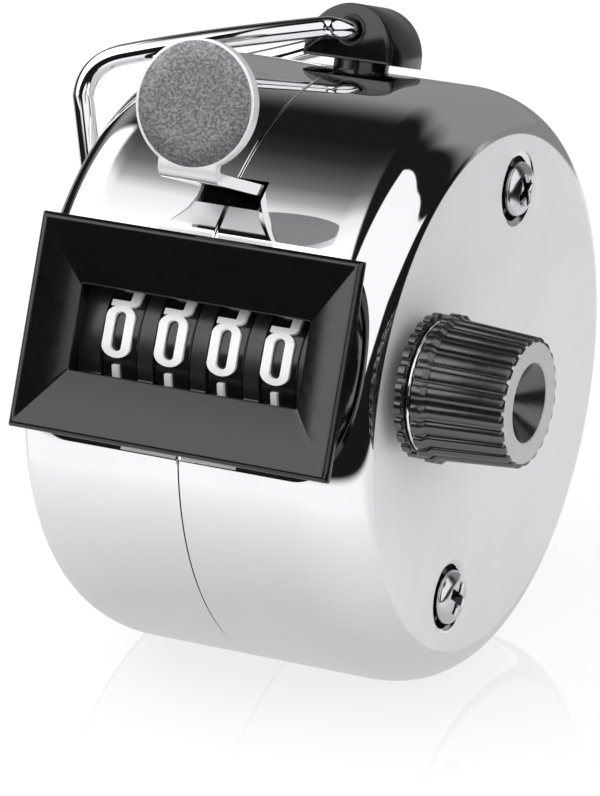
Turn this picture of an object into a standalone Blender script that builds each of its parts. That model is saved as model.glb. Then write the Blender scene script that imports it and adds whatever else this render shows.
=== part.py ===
"""Hand tally counter: a chromed drum of two half shells around a four-wheel counting train.

Metres, +Z up, X along the drum's axis, front at -Y. Sizes are laid out about the drum's axis, and
an angle is measured from straight ahead (-Y), upwards over the top. The finished model is moved as
one piece, so that its origin is at the bottom centre of the whole object.
"""
import math

import bpy
import bmesh
from mathutils import Matrix, Vector

MM = 0.001

# Clearances
FACE_GAP = 0.3 * MM          # between pieces that rest on or are cut by each other
SHIM_GAP = 0.15 * MM         # between flat faces stacked on the knob's shaft
RUNNING_GAP = 0.1 * MM      # radial, between a pin and its hole
MESH_GAP = 0.3 * MM          # between a pawl's nib and the ratchet's tips

# Drum and its two shells
DRUM_RADIUS = 22.5 * MM
END_ROOM = 1.27 * MM         # from the right frame plate to the inside of the end
EDGE_AXIAL = 5.0 * MM        # the rounded edge is an ellipse, longer along the axis
EDGE_RADIAL = 3.2 * MM
SHELL_WALL = 0.9 * MM
FOOT_HALF_WIDTH = 4.7 * MM
SHELL_STEPS = 60
EDGE_STEPS = 6

# Number window
SIGHT_ANGLE = math.radians(21.2)
BEZEL_PROUD = 0.8 * MM       # from the drum's skin to the rim
BEZEL_HEIGHT = 2.1 * MM      # from the base to the rim
BEZEL_SIDE = 3.73 * MM       # from the side of the opening to that of the rim
BEZEL_HALF_HEIGHT = 7.93 * MM
BEZEL_RIM_DEPTH = 0.75 * MM
BEZEL_RIM_FLAT = 0.45 * MM
BEZEL_CHAMFER = 0.25 * MM
FUNNEL_DEPTH = 1.0 * MM
WINDOW_SIDE_ROOM = 1.34 * MM # from the row of wheels to the side of the opening
WINDOW_HALF_HEIGHT = 3.15 * MM

# Counting train
WHEEL_SETBACK = 0.4 * MM     # from the bezel's base to the wheels
NUMBER_SHAFT_RADIUS = 1.1 * MM
WHEEL_NAMES = ("thousands", "hundreds", "tens", "units")
WHEEL_PITCH = 4.32 * MM
WHEELS_CENTRE_X = 0.3 * MM
WHEEL_RIM_RADIUS = 6.0 * MM
WHEEL_RIM_WIDTH = 2.9 * MM
GEAR_MODULE = 0.5 * MM
GEAR_TEETH = 20
GEAR_WIDTH = 0.85 * MM
CARRY_RADIUS = 4.1 * MM
CARRY_WIDTH = 0.3 * MM
PINION_TEETH = 8
PINION_SHAFT_RADIUS = 0.8 * MM
PINION_DIRECTION = math.radians(-40.0)
RATCHET_TEETH = 10
RATCHET_TIP_RADIUS = 3.3 * MM
RATCHET_ROOT_RADIUS = 2.4 * MM
RATCHET_WIDTH = 0.8 * MM
COLLAR_RADIUS = 2.0 * MM

# Frame inside the shells
PLATE_CLEARANCE = 2.2 * MM   # from the plates' rims to the shells' inside
PLATE_THICKNESS = 1.0 * MM
PLATE_LEFT_CLEARANCE = 1.5 * MM
PLATE_RIGHT_CLEARANCE = 1.7 * MM
POST_RADIUS = 2.2 * MM
POST_HOLE_DEPTH = 4.5 * MM

# Case screws
SCREW_INSET = 3.9 * MM       # from the edge of the flat end to the screws
SCREW_SPREAD = math.radians(86.2)
SCREW_HEAD_RADIUS = 2.15 * MM
SCREW_HEAD_HEIGHT = 1.25 * MM
SCREW_SHANK_RADIUS = 0.9 * MM
SCREW_SEAT_DEPTH = 0.4 * MM
SCREW_GRIP = 3.2 * MM
RECESS_DEPTH = 0.7 * MM
RECESS_HALF_LENGTH = 1.25 * MM
RECESS_HALF_WIDTH = 0.3 * MM

# Thumb lever
LEVER_SLOPE = math.radians(22.5)
LEVER_THICKNESS = 0.85 * MM
LEVER_HALF_WIDTH = 2.3 * MM
LEVER_EXIT_ANGLE = math.radians(54.25)
LEVER_INNER_LENGTH = 12.2 * MM
LEVER_OUTER_LENGTH = 8.24 * MM
LEVER_BEND_RADIUS = 1.1 * MM
PIVOT_BEHIND_EXIT = 6.0 * MM
BARREL_RADIUS = 1.9 * MM
LEVER_PIN_RADIUS = 0.95 * MM
DISC_RADIUS = 4.7 * MM
DISC_TILT = math.radians(17.0)
DISC_NECK = 0.7 * MM
DISC_STEPS = 16
DISC_TOP_ANGLE = math.radians(172)
SLOT_SIDE_GAP = 0.5 * MM
SLOT_REAR_GAP = 0.3 * MM
SLOT_FRONT_GAP = 1.2 * MM
RELIEF_DEPTH = 0.25 * MM
RELIEF_REACH = 1.9 * MM
RELIEF_FLARE = 1.7 * MM

# Pawls, pins and the lever's spring
ARM_HALF_WIDTH = 1.1 * MM
ARM_WIDTH = 1.0 * MM
PAWL_BELOW_SHAFT = 1.628 * MM
ARM_LEAN = 0.5 * MM
PAWL_PIN_RADIUS = 0.6 * MM
PAWL_BOSS_RADIUS = 1.1 * MM
PAWL_BAR_HALF = 0.5 * MM
DRIVE_PAWL_SHORT = 1.374 * MM  # the pawl ends this much before it is level with the shaft
DETENT_BEFORE_PIVOT = 2.544 * MM
DETENT_NIB = 0.95 * MM
DETENT_REACH = 1.8 * MM      # past the shaft
SPRING_COIL_RADIUS = 1.4 * MM
SPRING_WIRE_RADIUS = 0.25 * MM
SPRING_TURNS = 7
SPRING_BEHIND_PIVOT = 5.6 * MM
ANCHOR_PIN_RADIUS = 0.8 * MM
ANCHOR_DROP = 10.0 * MM

# Finger bail and the hub that it swings in
HUB_ANGLE = math.radians(107.9)
HUB_ARC_RADIUS = 3.75 * MM
HUB_STRAIGHT = 0.53 * MM
HUB_LENGTH = 5.5 * MM
HUB_LIFT = 0.58 * MM
HUB_STEM_RADIUS = 2.1 * MM
HUB_NUT_RADIUS = 3.4 * MM
HUB_NUT_THICKNESS = 1.0 * MM
BAIL_EYE_HEIGHT = 1.72 * MM
BAIL_WIRE_RADIUS = 0.8 * MM
BAIL_END_DEPTH = 1.6 * MM
BAIL_ELBOW_RADIUS = 1.3 * MM
BAIL_SIDE_REACH = 4.4 * MM   # from the drum's end to the bail's corners
BAIL_CORNER_RADIUS = 3.3 * MM
BAIL_ARM_DROP = 4.13 * MM
BAIL_ARM_SAG = 0.23 * MM
BAIL_HALF_SPREAD = 8.6 * MM
BAIL_LEG_LENGTH = 13.4 * MM
BAIL_LEG_INSET = 2.6 * MM
BAIL_FOOT_RADIUS = 4.5 * MM

# Reset knob
KNOB_RIBS = 24
FLANGE_NECK_LENGTH = 0.95 * MM
FLANGE_NECK_RADIUS = 2.0 * MM
FLANGE_RADIUS = 5.3 * MM
FLANGE_THICKNESS = 0.75 * MM
SPACER_RADIUS = 4.95 * MM
SPACER_THICKNESS = 0.3 * MM
KNOB_COLLAR_RADIUS = 5.45 * MM
KNOB_COLLAR_LENGTH = 1.1 * MM
KNOB_GRIP_RADIUS = 5.15 * MM # next to the collar; the grip tapers towards its end
KNOB_TIP_RADIUS = 4.75 * MM
KNOB_GRIP_LENGTH = 5.9 * MM
RIB_DEPTH = 0.3 * MM
KNOB_END_CHAMFER = 0.15 * MM
DIMPLE_RADIUS = 2.9 * MM
DIMPLE_DEPTH = 2.2 * MM
DIMPLE_FLOOR_RADIUS = 0.5 * MM
KNOB_WEB = 1.0 * MM

# Colours and finishes: base colour, roughness, metallic
FINISHES = {
    "chrome": ((0.80, 0.81, 0.82), 0.06, 1.0),
    "black_plastic": ((0.012, 0.012, 0.013), 0.30, 0.0),
    "wheel_plastic": ((0.015, 0.015, 0.016), 0.45, 0.0),
    "zinc_steel": ((0.52, 0.53, 0.54), 0.35, 1.0),
    "brass": ((0.66, 0.50, 0.24), 0.30, 1.0),
    "white_acetal": ((0.75, 0.74, 0.70), 0.40, 0.0),
}


def polar(distance, angle):
    """The (y, z) of a point at a distance from the drum's axis and an angle up from straight ahead."""
    return -distance * math.cos(angle), distance * math.sin(angle)


def shifted(point, dy, dz):
    return point[0] + dy, point[1] + dz


# Places that several pieces share
AXIS_HEIGHT = math.sqrt(DRUM_RADIUS**2 - FOOT_HALF_WIDTH**2)
FLAT_RADIUS = DRUM_RADIUS - EDGE_RADIAL
PLATE_RADIUS = DRUM_RADIUS - SHELL_WALL - PLATE_CLEARANCE
SCREW_CIRCLE_RADIUS = FLAT_RADIUS - SCREW_INSET
BEZEL_RIM_DISTANCE = DRUM_RADIUS + BEZEL_PROUD
BEZEL_BASE_DISTANCE = BEZEL_RIM_DISTANCE - BEZEL_HEIGHT
SHELL_CUT_DISTANCE = BEZEL_BASE_DISTANCE - FACE_GAP
NUMBER_SHAFT = polar(BEZEL_BASE_DISTANCE - WHEEL_SETBACK - WHEEL_RIM_RADIUS, SIGHT_ANGLE)
GEAR_PITCH_RADIUS = GEAR_MODULE * GEAR_TEETH / 2
PINION_PITCH_RADIUS = GEAR_MODULE * PINION_TEETH / 2
PINION_CENTRE_DISTANCE = GEAR_PITCH_RADIUS + PINION_PITCH_RADIUS
PINION_SHAFT = shifted(NUMBER_SHAFT, PINION_CENTRE_DISTANCE * math.cos(PINION_DIRECTION),
                       PINION_CENTRE_DISTANCE * math.sin(PINION_DIRECTION))

WHEEL_X = {}
for place, wheel_name in enumerate(WHEEL_NAMES):
    WHEEL_X[wheel_name] = WHEELS_CENTRE_X + (place - (len(WHEEL_NAMES) - 1) / 2) * WHEEL_PITCH
WINDOW_HALF_WIDTH = ((len(WHEEL_NAMES) - 1) * WHEEL_PITCH + WHEEL_RIM_WIDTH) / 2 + WINDOW_SIDE_ROOM
BEZEL_HALF_WIDTH = WINDOW_HALF_WIDTH + BEZEL_SIDE
RATCHET_X = WHEEL_X["units"] + WHEEL_RIM_WIDTH / 2 + FACE_GAP
ARM_X = RATCHET_X + RATCHET_WIDTH + FACE_GAP
LEFT_PLATE_X = WHEEL_X["thousands"] - WHEEL_RIM_WIDTH / 2 - PLATE_LEFT_CLEARANCE
RIGHT_PLATE_X = RATCHET_X + RATCHET_WIDTH + PLATE_RIGHT_CLEARANCE
DRUM_HALF_WIDTH = RIGHT_PLATE_X + PLATE_THICKNESS + END_ROOM + SHELL_WALL
EDGE_START_X = DRUM_HALF_WIDTH - EDGE_AXIAL

# The lever's strip runs down and back from the slot. STRIP_TOP is on its upper face, where it
# crosses the drum's skin, BACKWARD runs along it into the drum and UPWARD stands square to it.
STRIP_TOP = polar(DRUM_RADIUS, LEVER_EXIT_ANGLE)
BACKWARD = (math.cos(LEVER_SLOPE), -math.sin(LEVER_SLOPE))
UPWARD = (math.sin(LEVER_SLOPE), math.cos(LEVER_SLOPE))


def on_strip(back, up):
    """The (y, z) of a point counted from STRIP_TOP along and square to the lever's strip."""
    return shifted(STRIP_TOP, BACKWARD[0] * back + UPWARD[0] * up, BACKWARD[1] * back + UPWARD[1] * up)


LEVER_PIVOT = on_strip(PIVOT_BEHIND_EXIT, -LEVER_THICKNESS - BARREL_RADIUS)
PAWL_PIVOT = (LEVER_PIVOT[0] + ARM_LEAN, NUMBER_SHAFT[1] - PAWL_BELOW_SHAFT)
DETENT_PIVOT = (LEVER_PIVOT[0] - DETENT_BEFORE_PIVOT,
                NUMBER_SHAFT[1] + RATCHET_TIP_RADIUS + MESH_GAP + DETENT_NIB)
DETENT_LENGTH = DETENT_PIVOT[0] - NUMBER_SHAFT[0] + DETENT_REACH
SPRING_Y = LEVER_PIVOT[0] + SPRING_BEHIND_PIVOT
ANCHOR_PIN = (SPRING_Y, LEVER_PIVOT[1] - ANCHOR_DROP)
SCREW_ANGLES = {"upper": SIGHT_ANGLE + SCREW_SPREAD, "lower": SIGHT_ANGLE - SCREW_SPREAD}
HUB_FLOOR = DRUM_RADIUS + HUB_LIFT
HUB_ARC_CENTRE = HUB_FLOOR + HUB_STRAIGHT
BAIL_PIVOT_DISTANCE = HUB_ARC_CENTRE + BAIL_EYE_HEIGHT
BAIL_CORNER_X = DRUM_HALF_WIDTH + BAIL_SIDE_REACH
KNOB_FLANGE_X = DRUM_HALF_WIDTH + FACE_GAP
SPACER_X = KNOB_FLANGE_X + FLANGE_NECK_LENGTH + FLANGE_THICKNESS + SHIM_GAP
KNOB_X = SPACER_X + SPACER_THICKNESS + SHIM_GAP
KNOB_END_X = KNOB_X + KNOB_COLLAR_LENGTH + KNOB_GRIP_LENGTH

for old in list(bpy.data.objects):
    bpy.data.objects.remove(old, do_unlink=True)

materials = {}
for finish, (colour, roughness, metallic) in FINISHES.items():
    material = bpy.data.materials.new(finish)
    material.use_nodes = True
    shader = material.node_tree.nodes["Principled BSDF"]
    shader.inputs["Base Color"].default_value = (*colour, 1.0)
    shader.inputs["Roughness"].default_value = roughness
    shader.inputs["Metallic"].default_value = metallic
    materials[finish] = material

drum_axis = bpy.data.objects.new("drum_axis", None)
bpy.context.collection.objects.link(drum_axis)


def add_object(name, mesh, finish=None):
    """Links a mesh as an object under the drum's axis, shaded smooth except along its sharp edges."""
    piece = bpy.data.objects.new(name, mesh)
    bpy.context.collection.objects.link(piece)
    piece.parent = drum_axis
    mesh.shade_smooth()
    mesh.set_sharp_from_angle(angle=math.radians(32))
    if finish:
        mesh.materials.append(materials[finish])
    return piece


def add_bmesh(name, bm, finish=None):
    bmesh.ops.recalc_face_normals(bm, faces=bm.faces)
    mesh = bpy.data.meshes.new(name)
    bm.to_mesh(mesh)
    bm.free()
    return add_object(name, mesh, finish)


def at(piece, yz, x=0.0):
    """Puts a piece's origin at a place counted from the drum's axis."""
    piece.location = (x, yz[0], yz[1])
    return piece


def stood(piece, distance, angle):
    """Stands a piece on the drum, with its own +Z pointing straight out."""
    piece.rotation_euler = (math.radians(90) - angle, 0, 0)
    return at(piece, polar(distance, angle))


def skinned(name, rings, finish=None, closed=False):
    """Joins rings of points in order; a ring of one point is a pole, and closed joins last to first."""
    bm = bmesh.new()
    rows = [[bm.verts.new(point) for point in points] for points in rings]
    pairs = list(zip(rows, rows[1:]))
    if closed:
        pairs.append((rows[-1], rows[0]))
    for near, far in pairs:
        count = max(len(near), len(far))
        for i in range(count):
            j = (i + 1) % count
            if len(near) == 1:
                bm.faces.new((near[0], far[i], far[j]))
            elif len(far) == 1:
                bm.faces.new((near[i], near[j], far[0]))
            else:
                bm.faces.new((near[i], near[j], far[j], far[i]))
    return add_bmesh(name, bm, finish)


def circle(x, radius, count):
    """A ring of points square to X, or a pole where the radius is nothing."""
    if radius == 0:
        return [(x, 0, 0)]
    turns = [math.tau * i / count for i in range(count)]
    return [(x, radius * math.cos(t), radius * math.sin(t)) for t in turns]


def turned(name, profile, count, finish=None, closed=False):
    """A solid of revolution about X, from points of (x, radius)."""
    return skinned(name, [circle(x, radius, count) for x, radius in profile], finish, closed)


def prism(name, outline, x0, x1, finish=None):
    """An outline of (y, z) points drawn out along X."""
    bm = bmesh.new()
    near = [bm.verts.new((x0, y, z)) for y, z in outline]
    far = [bm.verts.new((x1, y, z)) for y, z in outline]
    bm.faces.new(near)
    bm.faces.new(far)
    for i in range(len(outline)):
        j = (i + 1) % len(outline)
        bm.faces.new((near[i], near[j], far[j], far[i]))
    return add_bmesh(name, bm, finish)


def block(name, low, high, finish=None):
    """A box between two corners."""
    outline = ((low[1], low[2]), (high[1], low[2]), (high[1], high[2]), (low[1], high[2]))
    return prism(name, outline, low[0], high[0], finish)


def rod(name, radius, x0, x1, count, finish=None):
    return turned(name, ((x0, 0), (x0, radius), (x1, radius), (x1, 0)), count, finish)


def tube(name, bore, radius, x0, x1, count, finish=None):
    return turned(name, ((x0, bore), (x0, radius), (x1, radius), (x1, bore)), count, finish, closed=True)


def arc_points(centre, radius, start, end, steps):
    """Points of (y, z) along an arc, counted anticlockwise from +Y towards +Z."""
    turns = [start + (end - start) * i / steps for i in range(steps + 1)]
    return [(centre[0] + radius * math.cos(t), centre[1] + radius * math.sin(t)) for t in turns]


def combine(piece, other, operation):
    """Cuts, or joins on, another solid, which then only guides the shape."""
    other.hide_render = True
    other.display_type = "WIRE"
    modifier = piece.modifiers.new(f"{operation.lower()}_{other.name}", "BOOLEAN")
    modifier.operation = operation
    modifier.solver = "EXACT"
    modifier.object = other


def drill(piece, yz, radius, x0, x1, count=20):
    """Drills a round hole along X through a piece."""
    cutter = at(rod(f"{piece.name}_drill_{len(piece.modifiers)}", radius, x0, x1, count), yz)
    combine(piece, cutter, "DIFFERENCE")


def skin_radius(x):
    """The drum's outer radius at a distance from its middle."""
    past = abs(x) - EDGE_START_X
    if past <= 0:
        return DRUM_RADIUS
    if past >= EDGE_AXIAL:
        return 0.0
    return FLAT_RADIUS + EDGE_RADIAL * math.sqrt(1 - (past / EDGE_AXIAL)**2)


def edge_profile(wall):
    """The rounded edge, from the barrel to the end face, at a depth under the outer skin."""
    points = []
    for i in range(EDGE_STEPS + 1):
        t = math.radians(90) * i / EDGE_STEPS
        points.append((EDGE_START_X + (EDGE_AXIAL - wall) * math.sin(t),
                       FLAT_RADIUS + (EDGE_RADIAL - wall) * math.cos(t)))
    return points


def slot_cutter(name):
    """A box along the lever's strip, which leaves it room to swing forwards in the slot."""
    half = LEVER_HALF_WIDTH + SLOT_SIDE_GAP
    above = SLOT_REAR_GAP
    below = -LEVER_THICKNESS - SLOT_FRONT_GAP
    reach = 3 * SHELL_WALL
    outline = (on_strip(-reach, below), on_strip(-reach, above), on_strip(reach, above), on_strip(reach, below))
    return prism(name, outline, -half, half)


def relief_cutter(name):
    """A wedge that dishes the skin in front of the slot, deepest and narrowest at the slot."""
    below = LEVER_THICKNESS + SLOT_FRONT_GAP
    angle = LEVER_EXIT_ANGLE - below / DRUM_RADIUS / math.cos(LEVER_EXIT_ANGLE - LEVER_SLOPE)
    down = (-math.sin(angle), -math.cos(angle))
    out = (-math.cos(angle), math.sin(angle))
    near_half = LEVER_HALF_WIDTH + SLOT_SIDE_GAP
    far_half = near_half + RELIEF_FLARE
    start = polar(DRUM_RADIUS, angle)
    overlap = -SLOT_FRONT_GAP / 2

    def corner(x, along, height):
        return (x, start[0] + down[0] * along + out[0] * height, start[1] + down[1] * along + out[1] * height)

    lift = 2 * SHELL_WALL
    near = [corner(-near_half, overlap, -RELIEF_DEPTH), corner(near_half, overlap, -RELIEF_DEPTH),
            corner(near_half, overlap, lift), corner(-near_half, overlap, lift)]
    far = [corner(-far_half, RELIEF_REACH, 0), corner(far_half, RELIEF_REACH, 0),
           corner(far_half, RELIEF_REACH, lift), corner(-far_half, RELIEF_REACH, lift)]
    bm = bmesh.new()
    first = [bm.verts.new(point) for point in near]
    last = [bm.verts.new(point) for point in far]
    bm.faces.new(first)
    bm.faces.new(last)
    for i in range(4):
        j = (i + 1) % 4
        bm.faces.new((first[i], first[j], last[j], last[i]))
    return add_bmesh(name, bm)


def make_shell(name, side):
    """One chromed half shell: a drawn cup with a rounded edge, side is -1 for left and 1 for right."""
    lip = FACE_GAP / 2
    profile = [(DRUM_HALF_WIDTH, 0)] + edge_profile(0)[::-1]
    profile += [(lip, DRUM_RADIUS), (lip, DRUM_RADIUS - SHELL_WALL)]
    profile += edge_profile(SHELL_WALL) + [(DRUM_HALF_WIDTH - SHELL_WALL, 0)]
    shell = turned(name, [(side * x, radius) for x, radius in profile], SHELL_STEPS, "chrome")

    big = 2 * DRUM_RADIUS
    front = block(f"{name}_front_cut", (-big, -big, 0), (big, big, big))
    combine(shell, stood(front, SHELL_CUT_DISTANCE, SIGHT_ANGLE), "DIFFERENCE")
    foot = block(f"{name}_foot_cut", (-big, -big, -big), (big, big, -AXIS_HEIGHT))
    combine(shell, foot, "DIFFERENCE")
    combine(shell, slot_cutter(f"{name}_slot_cut"), "DIFFERENCE")
    combine(shell, relief_cutter(f"{name}_relief_cut"), "DIFFERENCE")

    stem_hole = rod(f"{name}_stem_cut", HUB_STEM_RADIUS + FACE_GAP, -3 * SHELL_WALL, 3 * SHELL_WALL, 24)
    stem_hole.data.transform(Matrix.Rotation(math.radians(90), 4, "Y"))
    combine(shell, stood(stem_hole, DRUM_RADIUS, HUB_ANGLE), "DIFFERENCE")

    end = side * DRUM_HALF_WIDTH
    through = 3 * SHELL_WALL
    seat = side * (DRUM_HALF_WIDTH - SCREW_SEAT_DEPTH)
    for angle in SCREW_ANGLES.values():
        place = polar(SCREW_CIRCLE_RADIUS, angle)
        drill(shell, place, SCREW_SHANK_RADIUS + FACE_GAP, end - through, end + through)
        low, high = sorted((seat, seat + side * through))
        drill(shell, place, SCREW_HEAD_RADIUS + FACE_GAP, low, high, 32)
    if side > 0:
        drill(shell, NUMBER_SHAFT, NUMBER_SHAFT_RADIUS + FACE_GAP, end - through, end + through)
    return shell


def rectangle_ring(half_u, half_v, height, steps_u, steps_v):
    """A rectangle of points in the window's own frame, with the same count on facing sides."""
    ring = []
    for i in range(steps_u):
        ring.append((-half_u + 2 * half_u * i / steps_u, -half_v, height))
    for i in range(steps_v):
        ring.append((half_u, -half_v + 2 * half_v * i / steps_v, height))
    for i in range(steps_u):
        ring.append((half_u - 2 * half_u * i / steps_u, half_v, height))
    for i in range(steps_v):
        ring.append((-half_u, half_v - 2 * half_v * i / steps_v, height))
    return ring


def drum_section_ring(pattern, distance, height):
    """Slides each point of a ring out along its own ray until it meets the drum's skin."""
    ring = []
    for u, v, _ in pattern:
        inside = 0.0
        outside = 3.0
        for _ in range(40):
            middle = (inside + outside) / 2
            if math.hypot(distance, v * middle) < skin_radius(u * middle):
                inside = middle
            else:
                outside = middle
        ring.append((u * inside, v * inside, height))
    return ring


def make_bezel():
    """The black moulded window: a rectangular rim on a base that follows the drum's section."""
    def rectangle(half_u, half_v, distance):
        return rectangle_ring(half_u, half_v, distance - BEZEL_RIM_DISTANCE, 12, 10)

    base = BEZEL_BASE_DISTANCE
    rim = BEZEL_RIM_DISTANCE
    outer = rectangle(BEZEL_HALF_WIDTH, BEZEL_HALF_HEIGHT, rim - BEZEL_RIM_DEPTH)
    inner_u = BEZEL_HALF_WIDTH - BEZEL_CHAMFER
    inner_v = BEZEL_HALF_HEIGHT - BEZEL_CHAMFER
    flat_u = inner_u - BEZEL_RIM_FLAT
    flat_v = inner_v - BEZEL_RIM_FLAT
    rings = [
        drum_section_ring(outer, base, base - rim),
        outer,
        rectangle(BEZEL_HALF_WIDTH, BEZEL_HALF_HEIGHT, rim - BEZEL_CHAMFER),
        rectangle(inner_u, inner_v, rim),
        rectangle(flat_u, flat_v, rim),
        rectangle(WINDOW_HALF_WIDTH, WINDOW_HALF_HEIGHT, rim - FUNNEL_DEPTH),
        rectangle(WINDOW_HALF_WIDTH, WINDOW_HALF_HEIGHT, base),
    ]
    return stood(skinned("window_bezel", rings, "black_plastic", closed=True), rim, SIGHT_ANGLE)


def tooth_circle(teeth, root, tip, phase):
    """Four points a tooth: a straight-sided tooth that is narrow at its tip, the first at the phase."""
    points = []
    for i in range(teeth):
        middle = phase + math.tau * i / teeth
        step = math.tau / teeth
        for radius, share in ((root, -0.30), (tip, -0.10), (tip, 0.10), (root, 0.30)):
            points.append((radius * math.cos(middle + share * step), radius * math.sin(middle + share * step)))
    return points


def even_circle(teeth, radius, phase):
    """A plain circle with its points at the same turns as those of a toothed one."""
    return [(radius * y, radius * z) for y, z in tooth_circle(teeth, 1.0, 1.0, phase)]


def raised(ring, x):
    return [(x, y, z) for y, z in ring]


def make_wheel(name):
    """A number wheel: the figure rim, the carry boss on its left and the transfer gear on its right."""
    half = WHEEL_RIM_WIDTH / 2
    bore = even_circle(GEAR_TEETH, NUMBER_SHAFT_RADIUS + RUNNING_GAP, PINION_DIRECTION)
    rim = even_circle(GEAR_TEETH, WHEEL_RIM_RADIUS, PINION_DIRECTION)
    boss = even_circle(GEAR_TEETH, CARRY_RADIUS, PINION_DIRECTION)
    gear = tooth_circle(GEAR_TEETH, GEAR_PITCH_RADIUS - 1.2 * GEAR_MODULE,
                        GEAR_PITCH_RADIUS + 0.8 * GEAR_MODULE, PINION_DIRECTION)
    if name == "thousands":
        rings = [raised(bore, -half)]
    else:
        rings = [raised(bore, -half - CARRY_WIDTH), raised(boss, -half - CARRY_WIDTH), raised(boss, -half)]
    rings += [raised(rim, -half), raised(rim, half)]
    if name == "units":
        rings.append(raised(bore, half))
    else:
        rings += [raised(gear, half), raised(gear, half + GEAR_WIDTH), raised(bore, half + GEAR_WIDTH)]
    wheel = skinned(f"{name}_wheel", rings, "wheel_plastic", closed=True)
    return at(wheel, NUMBER_SHAFT, WHEEL_X[name])


def make_pinion(name):
    """A transfer pinion, in mesh with the gear of the wheel that it is named after."""
    half_step = math.pi / PINION_TEETH
    phase = PINION_DIRECTION + math.pi + half_step
    gear = tooth_circle(PINION_TEETH, PINION_PITCH_RADIUS - 1.0 * GEAR_MODULE,
                        PINION_PITCH_RADIUS + 0.8 * GEAR_MODULE, phase)
    bore = even_circle(PINION_TEETH, PINION_SHAFT_RADIUS + RUNNING_GAP, phase)
    rings = [raised(bore, 0), raised(gear, 0), raised(gear, GEAR_WIDTH), raised(bore, GEAR_WIDTH)]
    pinion = skinned(f"{name}_pinion", rings, "white_acetal", closed=True)
    return at(pinion, PINION_SHAFT, WHEEL_X[name] + WHEEL_RIM_WIDTH / 2)


def make_ratchet():
    """The ten-tooth ratchet beside the units wheel, with steep faces turned one way."""
    bore_radius = NUMBER_SHAFT_RADIUS + RUNNING_GAP
    teeth = []
    bore = []
    for i in range(RATCHET_TEETH):
        for radius, share in ((RATCHET_ROOT_RADIUS, 0.0), (RATCHET_TIP_RADIUS, 0.08),
                              (RATCHET_TIP_RADIUS, 0.22), (RATCHET_ROOT_RADIUS, 0.85)):
            turn = math.tau * (i + share) / RATCHET_TEETH
            teeth.append((radius * math.cos(turn), radius * math.sin(turn)))
            bore.append((bore_radius * math.cos(turn), bore_radius * math.sin(turn)))
    rings = [raised(bore, 0), raised(teeth, 0), raised(teeth, RATCHET_WIDTH), raised(bore, RATCHET_WIDTH)]
    return at(skinned("units_ratchet", rings, "brass", closed=True), NUMBER_SHAFT, RATCHET_X)


def make_plate(name, x):
    """One side plate of the frame, drilled for the shafts and pins that it carries."""
    plate = rod(name, PLATE_RADIUS, x, x + PLATE_THICKNESS, 48, "zinc_steel")
    low = x - PLATE_THICKNESS
    high = x + 2 * PLATE_THICKNESS
    drill(plate, NUMBER_SHAFT, NUMBER_SHAFT_RADIUS + RUNNING_GAP, low, high)
    drill(plate, PINION_SHAFT, PINION_SHAFT_RADIUS + RUNNING_GAP, low, high)
    drill(plate, LEVER_PIVOT, LEVER_PIN_RADIUS + RUNNING_GAP, low, high)
    drill(plate, ANCHOR_PIN, ANCHOR_PIN_RADIUS + RUNNING_GAP, low, high)
    for angle in SCREW_ANGLES.values():
        drill(plate, polar(SCREW_CIRCLE_RADIUS, angle), SCREW_SHANK_RADIUS + FACE_GAP, low, high)
    if x > 0:
        drill(plate, DETENT_PIVOT, PAWL_PIN_RADIUS + RUNNING_GAP, low, high)
    return plate


def make_post(name, angle):
    """A turned post that spaces the two plates apart, tapped at both ends for the case screws."""
    start = LEFT_PLATE_X + FACE_GAP
    end = RIGHT_PLATE_X - FACE_GAP
    hole = SCREW_SHANK_RADIUS + FACE_GAP
    profile = ((start + POST_HOLE_DEPTH, 0), (start + POST_HOLE_DEPTH, hole), (start, hole),
               (start, POST_RADIUS), (end, POST_RADIUS), (end, hole),
               (end - POST_HOLE_DEPTH, hole), (end - POST_HOLE_DEPTH, 0))
    return at(turned(name, profile, 24, "zinc_steel"), polar(SCREW_CIRCLE_RADIUS, angle))


def make_case_screw(name, side, angle):
    """A pan-head screw with a cross recess, its head let a little way into the shell's end."""
    seat = DRUM_HALF_WIDTH - SCREW_SEAT_DEPTH + FACE_GAP / 2
    top = seat + SCREW_HEAD_HEIGHT
    plate_face = RIGHT_PLATE_X if side > 0 else -LEFT_PLATE_X
    tip = plate_face - SCREW_GRIP
    profile = [(tip, 0), (tip, SCREW_SHANK_RADIUS), (seat, SCREW_SHANK_RADIUS), (seat, SCREW_HEAD_RADIUS)]
    for i in range(5):
        t = math.radians(90) * i / 5
        profile.append((top - 0.55 * SCREW_HEAD_HEIGHT * (1 - math.sin(t)),
                        SCREW_HEAD_RADIUS * (0.55 + 0.45 * math.cos(t))))
    profile.append((top, 0))
    screw = turned(name, [(side * x, radius) for x, radius in profile], 24, "zinc_steel")
    start, end = sorted((side * (top - RECESS_DEPTH), side * (top + RECESS_DEPTH)))
    long_half = RECESS_HALF_LENGTH
    thin_half = RECESS_HALF_WIDTH
    cross = ((long_half, -thin_half), (long_half, thin_half), (thin_half, thin_half), (thin_half, long_half),
             (-thin_half, long_half), (-thin_half, thin_half), (-long_half, thin_half), (-long_half, -thin_half),
             (-thin_half, -thin_half), (-thin_half, -long_half), (thin_half, -long_half), (thin_half, -thin_half))
    cutter = prism(f"{name}_recess", cross, start, end)
    place = polar(SCREW_CIRCLE_RADIUS, angle)
    at(cutter, place)
    combine(screw, cutter, "DIFFERENCE")
    return at(screw, place)


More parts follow.
